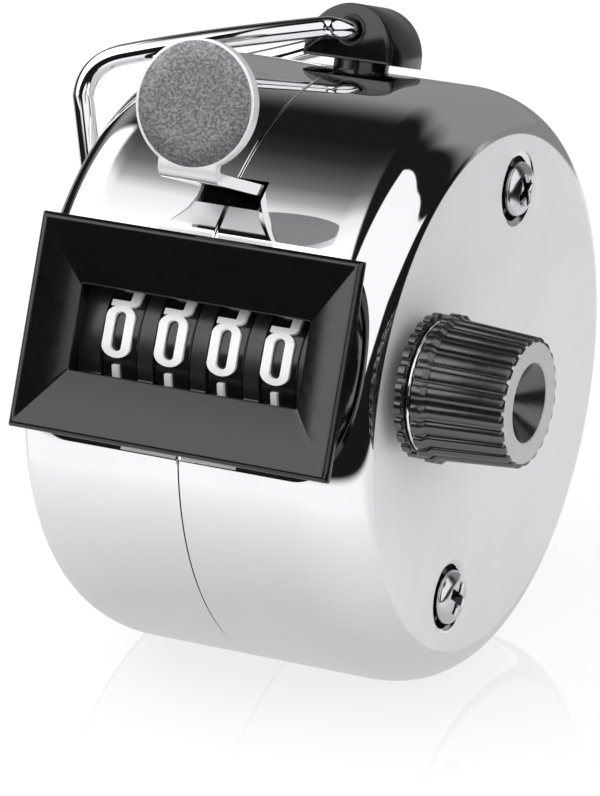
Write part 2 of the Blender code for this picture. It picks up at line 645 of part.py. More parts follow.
def bent_sheet(name, stations, finish):
    """A bent strip from stations of (underside, upper side, half width), with (y, z) for both sides."""
    bm = bmesh.new()
    rows = []
    for under, over, half in stations:
        corners = ((-half, *under), (half, *under), (half, *over), (-half, *over))
        rows.append([bm.verts.new(corner) for corner in corners])
    bm.faces.new(rows[0])
    bm.faces.new(rows[-1])
    for near, far in zip(rows, rows[1:]):
        for i in range(4):
            j = (i + 1) % 4
            bm.faces.new((near[i], near[j], far[j], far[i]))
    return add_bmesh(name, bm, finish)


def make_lever():
    """The thumb lever: one bent strip with its disc, the barrel that it turns on and the pawl arm."""
    pivot = Vector(LEVER_PIVOT)
    disc_up = Vector((math.sin(DISC_TILT), math.cos(DISC_TILT)))
    disc_out = Vector((-math.cos(DISC_TILT), math.sin(DISC_TILT)))
    upward = Vector(UPWARD)
    heel = Vector(on_strip(-LEVER_OUTER_LENGTH, -LEVER_THICKNESS)) - pivot

    def above_heel(height):
        under = heel + disc_up * height
        return under, under - disc_out * LEVER_THICKNESS

    stations = [(Vector(on_strip(LEVER_INNER_LENGTH, -LEVER_THICKNESS)) - pivot,
                 Vector(on_strip(LEVER_INNER_LENGTH, 0)) - pivot, LEVER_HALF_WIDTH)]
    bend_centre = heel + (upward - disc_out) * LEVER_BEND_RADIUS / (1 - upward.dot(disc_out))
    first = math.atan2(-upward.y, -upward.x)
    last = math.atan2(disc_out.y, disc_out.x) - math.tau
    outer = arc_points(bend_centre, LEVER_BEND_RADIUS, first, last, 5)
    inner = arc_points(bend_centre, LEVER_BEND_RADIUS - LEVER_THICKNESS, first, last, 5)
    stations += [(under, over, LEVER_HALF_WIDTH) for under, over in zip(outer, inner)]
    chord_angle = math.asin(LEVER_HALF_WIDTH / DISC_RADIUS)
    for i in range(DISC_STEPS + 1):
        t = chord_angle + (DISC_TOP_ANGLE - chord_angle) * i / DISC_STEPS
        under, over = above_heel(DISC_NECK + DISC_RADIUS * (1 - math.cos(t)))
        stations.append((under, over, DISC_RADIUS * math.sin(t)))
    lever = bent_sheet("thumb_lever", stations, "chrome")
    barrel = tube("thumb_lever_barrel_form", LEVER_PIN_RADIUS + RUNNING_GAP, BARREL_RADIUS + FACE_GAP,
                  -LEVER_HALF_WIDTH + FACE_GAP, ARM_X + ARM_WIDTH / 2, 24)
    at(barrel, LEVER_PIVOT)
    combine(lever, barrel, "UNION")
    foot = (PAWL_PIVOT[0] - LEVER_PIVOT[0], PAWL_PIVOT[1] - LEVER_PIVOT[1])
    root = BARREL_RADIUS * 0.78
    arm_outline = ((-root, root * 1.02), (foot[0] - ARM_HALF_WIDTH, foot[1] - ARM_HALF_WIDTH),
                   (foot[0] + ARM_HALF_WIDTH, foot[1] - ARM_HALF_WIDTH), (root, root))
    arm = at(prism("thumb_lever_arm_form", arm_outline, ARM_X, ARM_X + ARM_WIDTH), LEVER_PIVOT)
    drill(arm, LEVER_PIVOT, LEVER_PIN_RADIUS + 2 * RUNNING_GAP, ARM_X - ARM_WIDTH, ARM_X + 2 * ARM_WIDTH)
    drill(arm, PAWL_PIVOT, PAWL_PIN_RADIUS + RUNNING_GAP, ARM_X - ARM_WIDTH, ARM_X + 2 * ARM_WIDTH)
    combine(lever, arm, "UNION")
    return at(lever, LEVER_PIVOT)


def make_pawl(name, pivot, heading, length):
    """A pawl: a round boss, a straight bar and a nib that stops short of the ratchet's tips."""
    bore = PAWL_PIN_RADIUS + RUNNING_GAP
    pawl = rod(name, PAWL_BOSS_RADIUS, 0, RATCHET_WIDTH, 24, "zinc_steel")
    along = Vector((math.cos(heading), math.sin(heading)))
    across = Vector((-math.sin(heading), math.cos(heading)))
    gap = (Vector(NUMBER_SHAFT) - Vector(pivot)).dot(across) - RATCHET_TIP_RADIUS - MESH_GAP
    nib = max(gap, PAWL_BAR_HALF)
    end = along * length
    outline = [-across * PAWL_BAR_HALF, end - across * PAWL_BAR_HALF, end + across * nib,
               end - along * 2 * PAWL_BAR_HALF + across * PAWL_BAR_HALF, across * PAWL_BAR_HALF]
    bar = prism(f"{name}_bar_form", [tuple(point) for point in outline], 0, RATCHET_WIDTH)
    at(bar, pivot, RATCHET_X)
    combine(pawl, bar, "UNION")
    drill(pawl, pivot, bore, 0, DRUM_HALF_WIDTH)
    return at(pawl, pivot, RATCHET_X)


def make_hub():
    """The black half-round hub on a short stem through the seam, with the hole for the bail's ends."""
    outline = []
    for i in range(25):
        t = math.pi * i / 24
        outline.append((HUB_ARC_RADIUS * math.cos(t), HUB_ARC_RADIUS * math.sin(t)))
    outline += [(-HUB_ARC_RADIUS, -HUB_STRAIGHT), (HUB_ARC_RADIUS, -HUB_STRAIGHT)]
    hub = prism("bail_hub", outline, -HUB_LENGTH / 2, HUB_LENGTH / 2, "black_plastic")
    hub.data.transform(Matrix.Rotation(math.radians(90), 4, "Z"))
    hub.data.transform(Matrix.Rotation(math.pi, 4, "Z"))
    bottom = DRUM_RADIUS - SHELL_WALL - HUB_NUT_THICKNESS - 2 * FACE_GAP
    stem = rod("bail_hub_stem_form", HUB_STEM_RADIUS, 0, HUB_ARC_CENTRE - bottom, 24)
    stem.data.transform(Matrix.Rotation(math.radians(-90), 4, "Y"))
    stood(stem, bottom, HUB_ANGLE)
    combine(hub, stem, "UNION")
    eye = rod("bail_hub_eye_cut", BAIL_WIRE_RADIUS + RUNNING_GAP, -HUB_LENGTH, HUB_LENGTH, 24)
    eye.data.transform(Matrix.Rotation(math.radians(90), 4, "Z"))
    stood(eye, BAIL_PIVOT_DISTANCE, HUB_ANGLE)
    combine(hub, eye, "DIFFERENCE")
    return stood(hub, HUB_ARC_CENTRE, HUB_ANGLE)


def make_hub_nut():
    """The ring that holds the hub's stem inside the case."""
    nut = tube("bail_hub_nut", HUB_STEM_RADIUS + RUNNING_GAP, HUB_NUT_RADIUS, 0, HUB_NUT_THICKNESS, 24, "zinc_steel")
    nut.data.transform(Matrix.Rotation(math.radians(-90), 4, "Y"))
    chord = math.sqrt((DRUM_RADIUS - SHELL_WALL)**2 - HUB_NUT_RADIUS**2)
    return stood(nut, chord - FACE_GAP - HUB_NUT_THICKNESS, HUB_ANGLE)


def bail_route():
    """The wire's centre line about its pivot: half of it as (x, front to back, outwards), then mirrored."""
    start = HUB_LENGTH / 2
    elbow = BAIL_ELBOW_RADIUS
    points = [(0, -(start - BAIL_END_DEPTH), 0), (0, -start, 0)]
    for i in range(1, 6):
        t = math.radians(90) * i / 5
        points.append((-elbow * (1 - math.cos(t)), -start - elbow * math.sin(t), 0))
    arm_start = points[-1]
    arm_end_x = -BAIL_CORNER_X + BAIL_CORNER_RADIUS
    steps = 12
    for i in range(1, steps + 1):
        share = i / steps
        x = arm_start[0] + (arm_end_x - arm_start[0]) * share
        spread = arm_start[1] + (-BAIL_HALF_SPREAD - arm_start[1]) * math.sin(share * math.radians(90))
        drop = BAIL_ARM_DROP * share - BAIL_ARM_SAG * share * (1 - share)
        points.append((x, spread, -drop))
    shoulder = Vector(points[-1])
    leg_top = Vector((-BAIL_CORNER_X, -BAIL_HALF_SPREAD, shoulder.z - 1.1 * BAIL_CORNER_RADIUS))
    control = Vector((-BAIL_CORNER_X, -BAIL_HALF_SPREAD, shoulder.z - 0.28 * BAIL_CORNER_RADIUS))
    for i in range(1, 7):
        t = i / 6
        points.append(tuple(shoulder * (1 - t)**2 + control * 2 * t * (1 - t) + leg_top * t**2))
    foot_z = leg_top.z - BAIL_LEG_LENGTH
    leg_end = Vector((-BAIL_CORNER_X + BAIL_LEG_INSET, -BAIL_HALF_SPREAD, foot_z + BAIL_FOOT_RADIUS))
    points.append(tuple(leg_top.lerp(leg_end, 0.5)))
    points.append(tuple(leg_end))
    for i in range(1, 7):
        t = math.radians(90) * i / 6
        points.append((leg_end.x, -BAIL_HALF_SPREAD + BAIL_FOOT_RADIUS * (1 - math.cos(t)),
                       leg_end.z - BAIL_FOOT_RADIUS * math.sin(t)))
    mirrored = [(x, -spread, height) for x, spread, height in reversed(points)]
    return points + mirrored


def wire(name, route, radius, resolution, finish):
    """A round wire along a route, closed at both ends."""
    curve = bpy.data.curves.new(name, "CURVE")
    curve.dimensions = "3D"
    curve.bevel_depth = radius
    curve.bevel_resolution = resolution
    curve.use_fill_caps = True
    spline = curve.splines.new("POLY")
    spline.points.add(len(route) - 1)
    for point, place in zip(spline.points, route):
        point.co = (*place, 1.0)
    curve.materials.append(materials[finish])
    piece = bpy.data.objects.new(name, curve)
    bpy.context.collection.objects.link(piece)
    piece.parent = drum_axis
    return piece


def make_lever_spring():
    """The coil spring that pulls the lever's inner end down, standing on the anchor pin."""
    underside = on_strip(0, -LEVER_THICKNESS)
    reach = (SPRING_Y - underside[0]) / BACKWARD[0]
    hang = underside[1] + BACKWARD[1] * reach
    top = hang - SPRING_COIL_RADIUS * math.tan(LEVER_SLOPE) - FACE_GAP - SPRING_WIRE_RADIUS
    bottom = ANCHOR_PIN[1] + ANCHOR_PIN_RADIUS + FACE_GAP + SPRING_WIRE_RADIUS
    steps = 10 * SPRING_TURNS
    route = []
    for i in range(steps + 1):
        t = math.tau * i / 10
        route.append((SPRING_COIL_RADIUS * math.cos(t), SPRING_COIL_RADIUS * math.sin(t),
                      (top - bottom) * i / steps))
    return at(wire("lever_spring", route, SPRING_WIRE_RADIUS, 1, "zinc_steel"), (SPRING_Y, bottom))


def rib_ring(x, radius, depth):
    """A ribbed circle: the ribs stand a little proud of the grooves between them."""
    ring = []
    for i in range(4 * KNOB_RIBS):
        t = math.tau * i / (4 * KNOB_RIBS)
        r = radius if i % 4 < 2 else radius - depth
        ring.append((x, r * math.cos(t), r * math.sin(t)))
    return ring


def make_knob_flange():
    """The ribbed flange, whose neck bears on the case, keyed to the shaft behind the knob."""
    count = 4 * KNOB_RIBS
    start = FLANGE_NECK_LENGTH
    end = start + FLANGE_THICKNESS
    bore = NUMBER_SHAFT_RADIUS + RUNNING_GAP
    bevel = RIB_DEPTH
    rings = [circle(0, bore, count), circle(0, FLANGE_NECK_RADIUS, count),
             circle(start, FLANGE_NECK_RADIUS, count), circle(start, FLANGE_RADIUS - RIB_DEPTH - bevel, count),
             rib_ring(start + bevel, FLANGE_RADIUS, RIB_DEPTH), rib_ring(end, FLANGE_RADIUS, RIB_DEPTH),
             circle(end, bore, count)]
    return at(skinned("knob_flange", rings, "black_plastic", closed=True), NUMBER_SHAFT, KNOB_FLANGE_X)


def make_knob():
    """The ribbed reset knob, bored blind for the shaft and dished on its end."""
    count = 4 * KNOB_RIBS
    bore = NUMBER_SHAFT_RADIUS + RUNNING_GAP
    length = KNOB_COLLAR_LENGTH + KNOB_GRIP_LENGTH
    dish = length - DIMPLE_DEPTH
    bore_end = dish - KNOB_WEB
    step = KNOB_COLLAR_RADIUS - KNOB_GRIP_RADIUS
    rings = [circle(bore_end, 0, count), circle(bore_end, bore, count), circle(0, bore, count),
             rib_ring(0, KNOB_COLLAR_RADIUS, RIB_DEPTH),
             rib_ring(KNOB_COLLAR_LENGTH - step, KNOB_COLLAR_RADIUS, RIB_DEPTH),
             rib_ring(KNOB_COLLAR_LENGTH, KNOB_GRIP_RADIUS, RIB_DEPTH),
             rib_ring(length - KNOB_END_CHAMFER, KNOB_TIP_RADIUS, RIB_DEPTH),
             circle(length, KNOB_TIP_RADIUS - RIB_DEPTH - KNOB_END_CHAMFER, count),
             circle(length, DIMPLE_RADIUS, count), circle(dish, DIMPLE_FLOOR_RADIUS, count),
             circle(dish, 0, count)]
    return at(skinned("reset_knob", rings, "black_plastic"), NUMBER_SHAFT, KNOB_X)


# Case
make_shell("left_shell", -1)
make_shell("right_shell", 1)
make_bezel()
for level, screw_angle in SCREW_ANGLES.items():
    make_post(f"{level}_post", screw_angle)
    make_case_screw(f"{level}_right_case_screw", 1, screw_angle)
    make_case_screw(f"{level}_left_case_screw", -1, screw_angle)

# Frame and the pins that lie between its plates
make_plate("left_frame_plate", LEFT_PLATE_X - PLATE_THICKNESS)
make_plate("right_frame_plate", RIGHT_PLATE_X)
PLATES_OUT_LEFT = LEFT_PLATE_X - PLATE_THICKNESS
PLATES_OUT_RIGHT = RIGHT_PLATE_X + PLATE_THICKNESS
at(rod("lever_pivot_pin", LEVER_PIN_RADIUS, PLATES_OUT_LEFT, PLATES_OUT_RIGHT, 24, "zinc_steel"), LEVER_PIVOT)
at(rod("pinion_shaft", PINION_SHAFT_RADIUS, PLATES_OUT_LEFT, PLATES_OUT_RIGHT, 20, "zinc_steel"), PINION_SHAFT)
at(rod("spring_anchor_pin", ANCHOR_PIN_RADIUS, PLATES_OUT_LEFT, PLATES_OUT_RIGHT, 20, "zinc_steel"), ANCHOR_PIN)

# Counting train
shaft_end_x = KNOB_END_X - DIMPLE_DEPTH - KNOB_WEB - FACE_GAP
at(rod("number_shaft", NUMBER_SHAFT_RADIUS, PLATES_OUT_LEFT, shaft_end_x, 24, "zinc_steel"), NUMBER_SHAFT)
collar_start_x = LEFT_PLATE_X + FACE_GAP
collar_end_x = WHEEL_X["thousands"] - WHEEL_RIM_WIDTH / 2 - FACE_GAP
at(tube("shaft_collar", NUMBER_SHAFT_RADIUS + RUNNING_GAP, COLLAR_RADIUS, collar_start_x, collar_end_x, 24, "brass"),
   NUMBER_SHAFT)
for wheel_name in WHEEL_NAMES:
    make_wheel(wheel_name)
for wheel_name in WHEEL_NAMES[:-1]:
    make_pinion(wheel_name)
make_ratchet()

# Thumb lever, its pawl and the pawl that stops the wheels running back
make_lever()
make_lever_spring()
at(rod("drive_pawl_pin", PAWL_PIN_RADIUS, RATCHET_X, ARM_X + ARM_WIDTH, 16, "zinc_steel"), PAWL_PIVOT)
to_shaft = Vector(NUMBER_SHAFT) - Vector(PAWL_PIVOT)
pawl_clear = RATCHET_TIP_RADIUS + MESH_GAP + PAWL_BAR_HALF
drive_heading = math.atan2(to_shaft.y, to_shaft.x) - math.asin(pawl_clear / to_shaft.length)
make_pawl("drive_pawl", PAWL_PIVOT, drive_heading, to_shaft.length - DRIVE_PAWL_SHORT)
at(rod("detent_pin", PAWL_PIN_RADIUS, RATCHET_X, PLATES_OUT_RIGHT, 16, "zinc_steel"), DETENT_PIVOT)
make_pawl("detent_pawl", DETENT_PIVOT, math.pi, DETENT_LENGTH)

# Finger bail
make_hub()
make_hub_nut()
stood(wire("bail_wire", bail_route(), BAIL_WIRE_RADIUS, 3, "chrome"), BAIL_PIVOT_DISTANCE, HUB_ANGLE)

# Reset knob
make_knob_flange()
at(tube("knob_spacer", NUMBER_SHAFT_RADIUS + RUNNING_GAP, SPACER_RADIUS, 0, SPACER_THICKNESS, 48, "chrome"),
   NUMBER_SHAFT, SPACER_X)
make_knob()

# The whole object is moved so that its origin lies at the bottom centre of its box
bpy.context.view_layer.update()
view = bpy.context.evaluated_depsgraph_get()
low = Vector((math.inf,) * 3)
high = Vector((-math.inf,) * 3)
for piece in bpy.data.objects:
    if piece.type == "EMPTY" or piece.hide_render:
        continue
    evaluated = piece.evaluated_get(view)
    mesh = evaluated.to_mesh()
    for vertex in mesh.vertices:
        place = evaluated.matrix_world @ vertex.co
        low = Vector(map(min, low, place))
        high = Vector(map(max, high, place))
    evaluated.to_mesh_clear()
drum_axis.location = (-(low.x + high.x) / 2, -(low.y + high.y) / 2, -low.z)
bpy.context.view_layer.update()
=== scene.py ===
import math

import bpy
import bmesh
import numpy as np
from mathutils import Matrix, Vector


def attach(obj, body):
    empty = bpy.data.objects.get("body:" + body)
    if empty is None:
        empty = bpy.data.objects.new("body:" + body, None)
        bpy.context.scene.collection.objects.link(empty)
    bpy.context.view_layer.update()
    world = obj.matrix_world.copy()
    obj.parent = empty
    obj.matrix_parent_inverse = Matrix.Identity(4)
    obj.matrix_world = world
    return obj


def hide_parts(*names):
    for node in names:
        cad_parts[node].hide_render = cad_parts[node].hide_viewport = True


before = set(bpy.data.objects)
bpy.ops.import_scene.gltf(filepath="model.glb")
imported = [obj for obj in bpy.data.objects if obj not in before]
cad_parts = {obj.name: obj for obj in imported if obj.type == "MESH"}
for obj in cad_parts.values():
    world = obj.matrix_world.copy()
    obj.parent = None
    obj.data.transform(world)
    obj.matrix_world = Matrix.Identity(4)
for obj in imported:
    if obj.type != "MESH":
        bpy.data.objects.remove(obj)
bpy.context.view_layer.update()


# The camera: a long lens, a little above the counter and to the right of its front. Sizes here and
# below are in millimetres about the middle of the drum's seam, and are moved to the frame's metres.
MM = 0.001
DRUM_CENTRE = Vector((-0.0022104, 0.0010002, 0.0220036))
VIEW_RIGHT = Vector((0.8901, 0.4558, 0.0)).normalized()
VIEW_AHEAD = Vector((-0.4281, 0.8360, -0.3435)).normalized()
VIEW_UP = VIEW_RIGHT.cross(VIEW_AHEAD)


def linked(name, data):
    """A new object of the scene that shows some data."""
    piece = bpy.data.objects.new(name, data)
    bpy.context.collection.objects.link(piece)
    return piece


camera_data = bpy.data.cameras.new("studio_camera")
camera_data.sensor_fit = "VERTICAL"
camera_data.sensor_height = 36.0
camera_data.lens = 228.97
camera = linked("studio_camera", camera_data)
view_turn = Matrix((VIEW_RIGHT, VIEW_UP, -VIEW_AHEAD)).transposed().to_4x4()
stand = DRUM_CENTRE + MM * (-383.115 * VIEW_AHEAD - 1.438 * VIEW_RIGHT - 2.544 * VIEW_UP)
camera.matrix_world = Matrix.Translation(stand) @ view_turn
bpy.context.scene.camera = camera
bpy.context.scene.view_settings.view_transform = "Standard"


# The studio: white paper under the counter and a room that the chrome mirrors. Two soft boxes stand
# to the front left and the front right, with dark gaps between them, and the room behind is dim.
class Number:
    """The output of a node; arithmetic on it adds nodes to the same tree."""

    def __init__(self, socket):
        self.socket = socket

    def math(self, operation, *others):
        node = self.socket.id_data.nodes.new("ShaderNodeMath")
        node.operation = operation
        for socket, value in zip(node.inputs, (self, *others)):
            feed(socket, value)
        return Number(node.outputs[0])

    def __add__(self, other):
        return self.math("ADD", other)

    def __sub__(self, other):
        return self.math("SUBTRACT", other)

    def __mul__(self, other):
        return self.math("MULTIPLY", other)

    def __rsub__(self, other):
        return self * -1.0 + other

    __radd__ = __add__
    __rmul__ = __mul__

    def mapped(self, start, end, low=0.0, high=1.0, kind="LINEAR"):
        """Goes from low at the start to high at the end, and no further."""
        node = self.socket.id_data.nodes.new("ShaderNodeMapRange")
        node.interpolation_type = kind
        for socket, value in zip(node.inputs, (self, start, end, low, high)):
            feed(socket, value)
        return Number(node.outputs[0])

    def smooth(self, start, end):
        return self.mapped(start, end, kind="SMOOTHSTEP")

    def band(self, low, high, soft):
        return self.smooth(low - soft, low + soft) * self.smooth(high + soft, high - soft)

    def curved(self, start, span, reach, power=2.0):
        """Nothing up to a start, then a curve that reaches a given size after a span."""
        return ((self - start) * (1.0 / span)).math("MAXIMUM", 0.0).math("POWER", power) * reach


def feed(socket, value):
    """Sets an input of a node, or links it to an output."""
    if isinstance(value, Number):
        value = value.socket
    if isinstance(value, bpy.types.NodeSocket):
        socket.id_data.links.new(value, socket)
    else:
        socket.default_value = value


def made(tree, kind, out=0, **inputs):
    """Adds a node, feeds its named inputs and gives one of its outputs."""
    node = tree.nodes.new(kind)
    for label, value in inputs.items():
        feed(node.inputs[label], value)
    return node.outputs[out]


def laid_over(under, over, mask):
    return mask * (over - under) + under


def axes_of(vector):
    split = vector.id_data.nodes.new("ShaderNodeSeparateXYZ")
    feed(split.inputs[0], vector)
    return [Number(axis) for axis in split.outputs]


def new_material(name):
    material = bpy.data.materials.new(name)
    material.use_nodes = True
    return material, material.node_tree, material.node_tree.nodes["Principled BSDF"]


# The room is laid out by direction: azimuth in degrees from +X towards +Y, and elevation.
GREY_WALL = 0.36
DARK_ROOM = 0.014
RIGHT_BOX_LIGHT = 1.35
LEFT_BOX_LIGHT = 2.3
CEILING = ((0.30, 1.5), (0.40, 1.2), (0.447, 0.54), (0.50, 0.21), (0.56, 0.11), (0.625, 0.036))
world = bpy.data.worlds.new("studio_room")
world.use_nodes = True
bpy.context.scene.world = world
room = world.node_tree
room.nodes.clear()
east, north, height = axes_of(made(room, "ShaderNodeTexCoord", "Generated"))
azimuth = north.math("ARCTAN2", east) * math.degrees(1)
elevation = height.math("ARCSINE") * math.degrees(1)
below = elevation * -1.0

wall_edge = below.curved(-12.0, 30.0, 12.0, 1.3) + elevation.curved(18.0, 30.0, 9.0)
wall_top = azimuth.smooth(122.0, 92.0) * 18.0 + 34.0
wall = (azimuth - wall_edge).smooth(43.0, 55.0) * (elevation - wall_top).smooth(10.0, -10.0)
light = laid_over(DARK_ROOM, GREY_WALL, wall)

ceiling = room.nodes.new("ShaderNodeValToRGB")
stops = ceiling.color_ramp.elements
for position, level in CEILING:
    stops.new(position).color = (level, level, level, 1)
for stop, position, level in ((stops[0], 0.20, LEFT_BOX_LIGHT), (stops[-1], 0.70, DARK_ROOM)):
    stop.position = position
    stop.color = (level, level, level, 1)
westing = (east + 0.44).math("MINIMUM", 0.0)
feed(ceiling.inputs[0], (north + westing + 1.0) * 0.5)
low_share = below.curved(-60.0, 40.0, 0.28, 1.0)
west_of_gap = (east + north * 0.223 + height * 0.124 + low_share) * -1.0
left_side = west_of_gap.smooth(-0.02, 0.03) * elevation.smooth(42.0, 50.0)
light = laid_over(light, Number(ceiling.outputs[0]), left_side)

westward = azimuth - azimuth.math("GREATER_THAN", 118.0) * 360.0
low_back = westward.band(-242.0, -101.0, 4.0) * elevation.smooth(22.0, 12.0)
light = laid_over(light, DARK_ROOM, low_back)
left_foot = (westward + 150.0).math("ABSOLUTE") * 0.32 + 5.5
left_box = westward.smooth(-211.0, -205.0) * (elevation - left_foot).smooth(-1.0, 1.0)
left_box = left_box * west_of_gap.smooth(-0.01, 0.02) * elevation.smooth(52.0, 44.0)
light = laid_over(light, LEFT_BOX_LIGHT, left_box)

east_of_gap = east - height * 0.109 - low_share * 0.85
right_edge = below.curved(-26.0, 20.0, 13.0, 1.5) + elevation.curved(48.0, 24.0, 33.0)
right_foot = (azimuth - 8.0).math("ABSOLUTE") * -0.2 + 12.0
right_box = east_of_gap.smooth(-0.01, 0.01) * (right_edge - azimuth).smooth(-24.6, -22.8)
right_box = right_box * (elevation - right_foot).smooth(-1.2, 1.2)
light = laid_over(light, RIGHT_BOX_LIGHT, right_box)
light = laid_over(light, 1.0, Number(made(room, "ShaderNodeLightPath", "Is Camera Ray")))
background = made(room, "ShaderNodeBackground", Strength=light)
feed(room.nodes.new("ShaderNodeOutputWorld").inputs["Surface"], background)

for lamp_name, spot, size, power in (("ceiling_lamp", (-0.25, -0.35, 0.95), 0.9, 2.5),
                                     ("side_lamp", (0.75, -0.55, 0.55), 0.7, 1.5)):
    lamp_data = bpy.data.lights.new(lamp_name, "AREA")
    lamp_data.size = size
    lamp_data.energy = power
    lamp = linked(lamp_name, lamp_data)
    lamp.location = spot
    lamp.rotation_euler = (DRUM_CENTRE - Vector(spot)).to_track_quat("-Z", "Y").to_euler()
    lamp.visible_glossy = False


def faded(base, cover, mask):
    """Lays one shader over another by a mask."""
    blend = base.id_data.nodes.new("ShaderNodeMixShader")
    for socket, value in zip(blend.inputs, (mask, base, cover)):
        feed(socket, value)
    return blend.outputs[0]


def glow(tree, strength):
    return made(tree, "ShaderNodeEmission", Strength=strength)


def staged(name, corners, material):
    mesh = bpy.data.meshes.new(name)
    mesh.from_pydata(corners, [], [(0, 1, 2, 3)])
    mesh.materials.append(material)
    sheet = linked(name, mesh)
    return sheet


# The paper is seen nearly white, with a slight sheen round the counter. In the mirrors it glows with painted
# light in place of its own lit shade: a painted shadow round the counter that brightens outwards and towards
# the front, and painted dark far in front and far behind.
paper, tree, shader = new_material("white_paper")
shader.inputs["Base Color"].default_value = (0.93, 0.93, 0.93, 1)
shader.inputs["Roughness"].default_value = 0.5
shader.inputs["Specular IOR Level"].default_value = 0.0
paper_x, paper_y, _ = axes_of(made(tree, "ShaderNodeTexCoord", "Object"))
away_x = paper_x - DRUM_CENTRE.x
away_y = paper_y - DRUM_CENTRE.y
away = (away_x * away_x + away_y * away_y).math("SQRT")
bearing = away_y.math("ARCTAN2", away_x) * math.degrees(1)
sheen = (away.smooth(0.034, 0.010) * 0.14 + 0.02) * away.smooth(0.060, 0.035)
polish = made(tree, "ShaderNodeBsdfGlossy", Roughness=0.06, Color=(1, 1, 1, 1))
seen_paper = faded(faded(shader.outputs[0], glow(tree, 1.08), 0.76), polish, sheen)
# Painted dark: where the paper is mirrored far in front of and far behind the counter, it glows almost black.
far_front_painted_dark = away.smooth(0.076, 0.092) * bearing.smooth(60.0, 52.0)
far_back_painted_dark = away.smooth(0.150, 0.200) * bearing.smooth(52.0, 60.0) * 0.7
# Painted light of the paper in mirrors: dim near the counter as a painted shadow, brighter outwards and towards
# the front.
mirrored_paper_painted_light = away.mapped(0.020, 0.058, 0.63, 1.08).math("MINIMUM", bearing.smooth(10.0, -30.0) * 0.24 + 0.84)
mirrored_paper = faded(glow(tree, mirrored_paper_painted_light), glow(tree, 0.01), far_front_painted_dark.math("MAXIMUM", far_back_painted_dark))
paper_finish = faded(shader.outputs[0], mirrored_paper, made(tree, "ShaderNodeLightPath", "Is Glossy Ray"))
paper_finish = faded(paper_finish, seen_paper, made(tree, "ShaderNodeLightPath", "Is Camera Ray"))
feed(tree.nodes["Material Output"].inputs["Surface"], paper_finish)
staged("studio_floor", [(-3, -3, 0), (3, -3, 0), (3, 3, 0), (-3, 3, 0)], paper)

# A white card lies flat in the air behind the counter, for the paper's sheen to mirror. From the side
# it is clear, so that the drum doesn't mirror it.
CARD_LEVEL = 0.049
CARD_START = 0.072
CARD_DEPTH = 0.130
CARD_HALF_WIDTH = 0.075
card, tree, shader = new_material("white_card")
slant = Number(made(tree, "ShaderNodeLayerWeight", "Facing", Blend=0.5))
card_light = faded(made(tree, "ShaderNodeBsdfTransparent"), glow(tree, 1.0), slant.smooth(0.82, 0.75))
feed(tree.nodes["Material Output"].inputs["Surface"], card_light)
behind = Vector((VIEW_AHEAD.x, VIEW_AHEAD.y, 0)).normalized()
beside = Vector((behind.y, -behind.x, 0)) * CARD_HALF_WIDTH
near = Vector((DRUM_CENTRE.x, DRUM_CENTRE.y, CARD_LEVEL)) + behind * CARD_START
far = near + behind * CARD_DEPTH
card_sheet = staged("studio_card", [near - beside, near + beside, far + beside, far - beside], card)
card_sheet.visible_camera = False
card_sheet.visible_diffuse = False
card_sheet.visible_shadow = False


# The case: two drawn steel cups, chromed all over, that meet at a fine seam. The number window is cut
# across both, and the slot for the thumb lever, the seats of the screws and the knob's hole are pierced.
DRUM_RADIUS = 22.5
HALF_WIDTH = 14.2
EDGE_AXIAL = 5.0
EDGE_RADIAL = 3.2
WALL = 0.9
FOOT_HALF_WIDTH = 4.7
AXIS_HEIGHT = math.sqrt(DRUM_RADIUS**2 - FOOT_HALF_WIDTH**2)
SIGHT_ANGLE = math.radians(21.2)
WINDOW_CUT = 20.9
SCREW_CIRCLE = 15.4
SCREW_ANGLES = (math.radians(107.4), math.radians(-65.0))
NUMBER_SHAFT_DISTANCE = 14.8
LEVER_SLOPE = math.radians(22.5)
LEVER_EXIT_ANGLE = math.radians(54.25)
LEVER_THICKNESS = 0.85
LEVER_HALF_WIDTH = 2.3
HUB_ANGLE = math.radians(107.9)


def noise_of(tree, scale, detail, roughness=0.5):
    place = made(tree, "ShaderNodeTexCoord", "Object")
    return Number(made(tree, "ShaderNodeTexNoise", "Fac", Vector=place, Scale=scale, Detail=detail,
                       Roughness=roughness))


def mixed(mask, dark, pale):
    """A colour between two others, by a mask."""
    blend = mask.socket.id_data.nodes.new("ShaderNodeMix")
    blend.data_type = "RGBA"
    for place, value in ((0, mask), (6, dark), (7, pale)):
        feed(blend.inputs[place], value)
    return blend.outputs[2]


def dressed(tree, shader, tint, roughness, relief, strength, depth):
    """Gives a shader its colour, its roughness and a fine relief."""
    feed(shader.inputs["Base Color"], tint)
    feed(shader.inputs["Roughness"], roughness)
    feed(shader.inputs["Normal"],
         made(tree, "ShaderNodeBump", Strength=strength, Distance=depth, Height=relief))


def surface(name, tint, gloss, grain, **constants):
    """A material whose colour and gloss drift a little, with a fine grain. Each of the three is the
    scale and detail of its noise and then two colours, two roughnesses, or a bump's strength and depth."""
    material, tree, shader = new_material(name)
    (tint_noise, dark, pale), (gloss_noise, low, high), (grain_noise, strength, depth) = tint, gloss, grain
    dressed(tree, shader, mixed(noise_of(tree, *tint_noise), (*dark, 1), (*pale, 1)),
            noise_of(tree, *gloss_noise).mapped(0.3, 0.7, low, high),
            noise_of(tree, *grain_noise), strength, depth)
    for label, value in constants.items():
        shader.inputs[label.replace("_", " ")].default_value = value
    return material


def plated(name, dark, pale, low, high, grain, strength):
    return surface(name, ((180.0, 3.0), dark, pale), ((900.0, 2.0), low, high),
                   ((grain, 2.0), strength, 0.00001), Metallic=1.0)


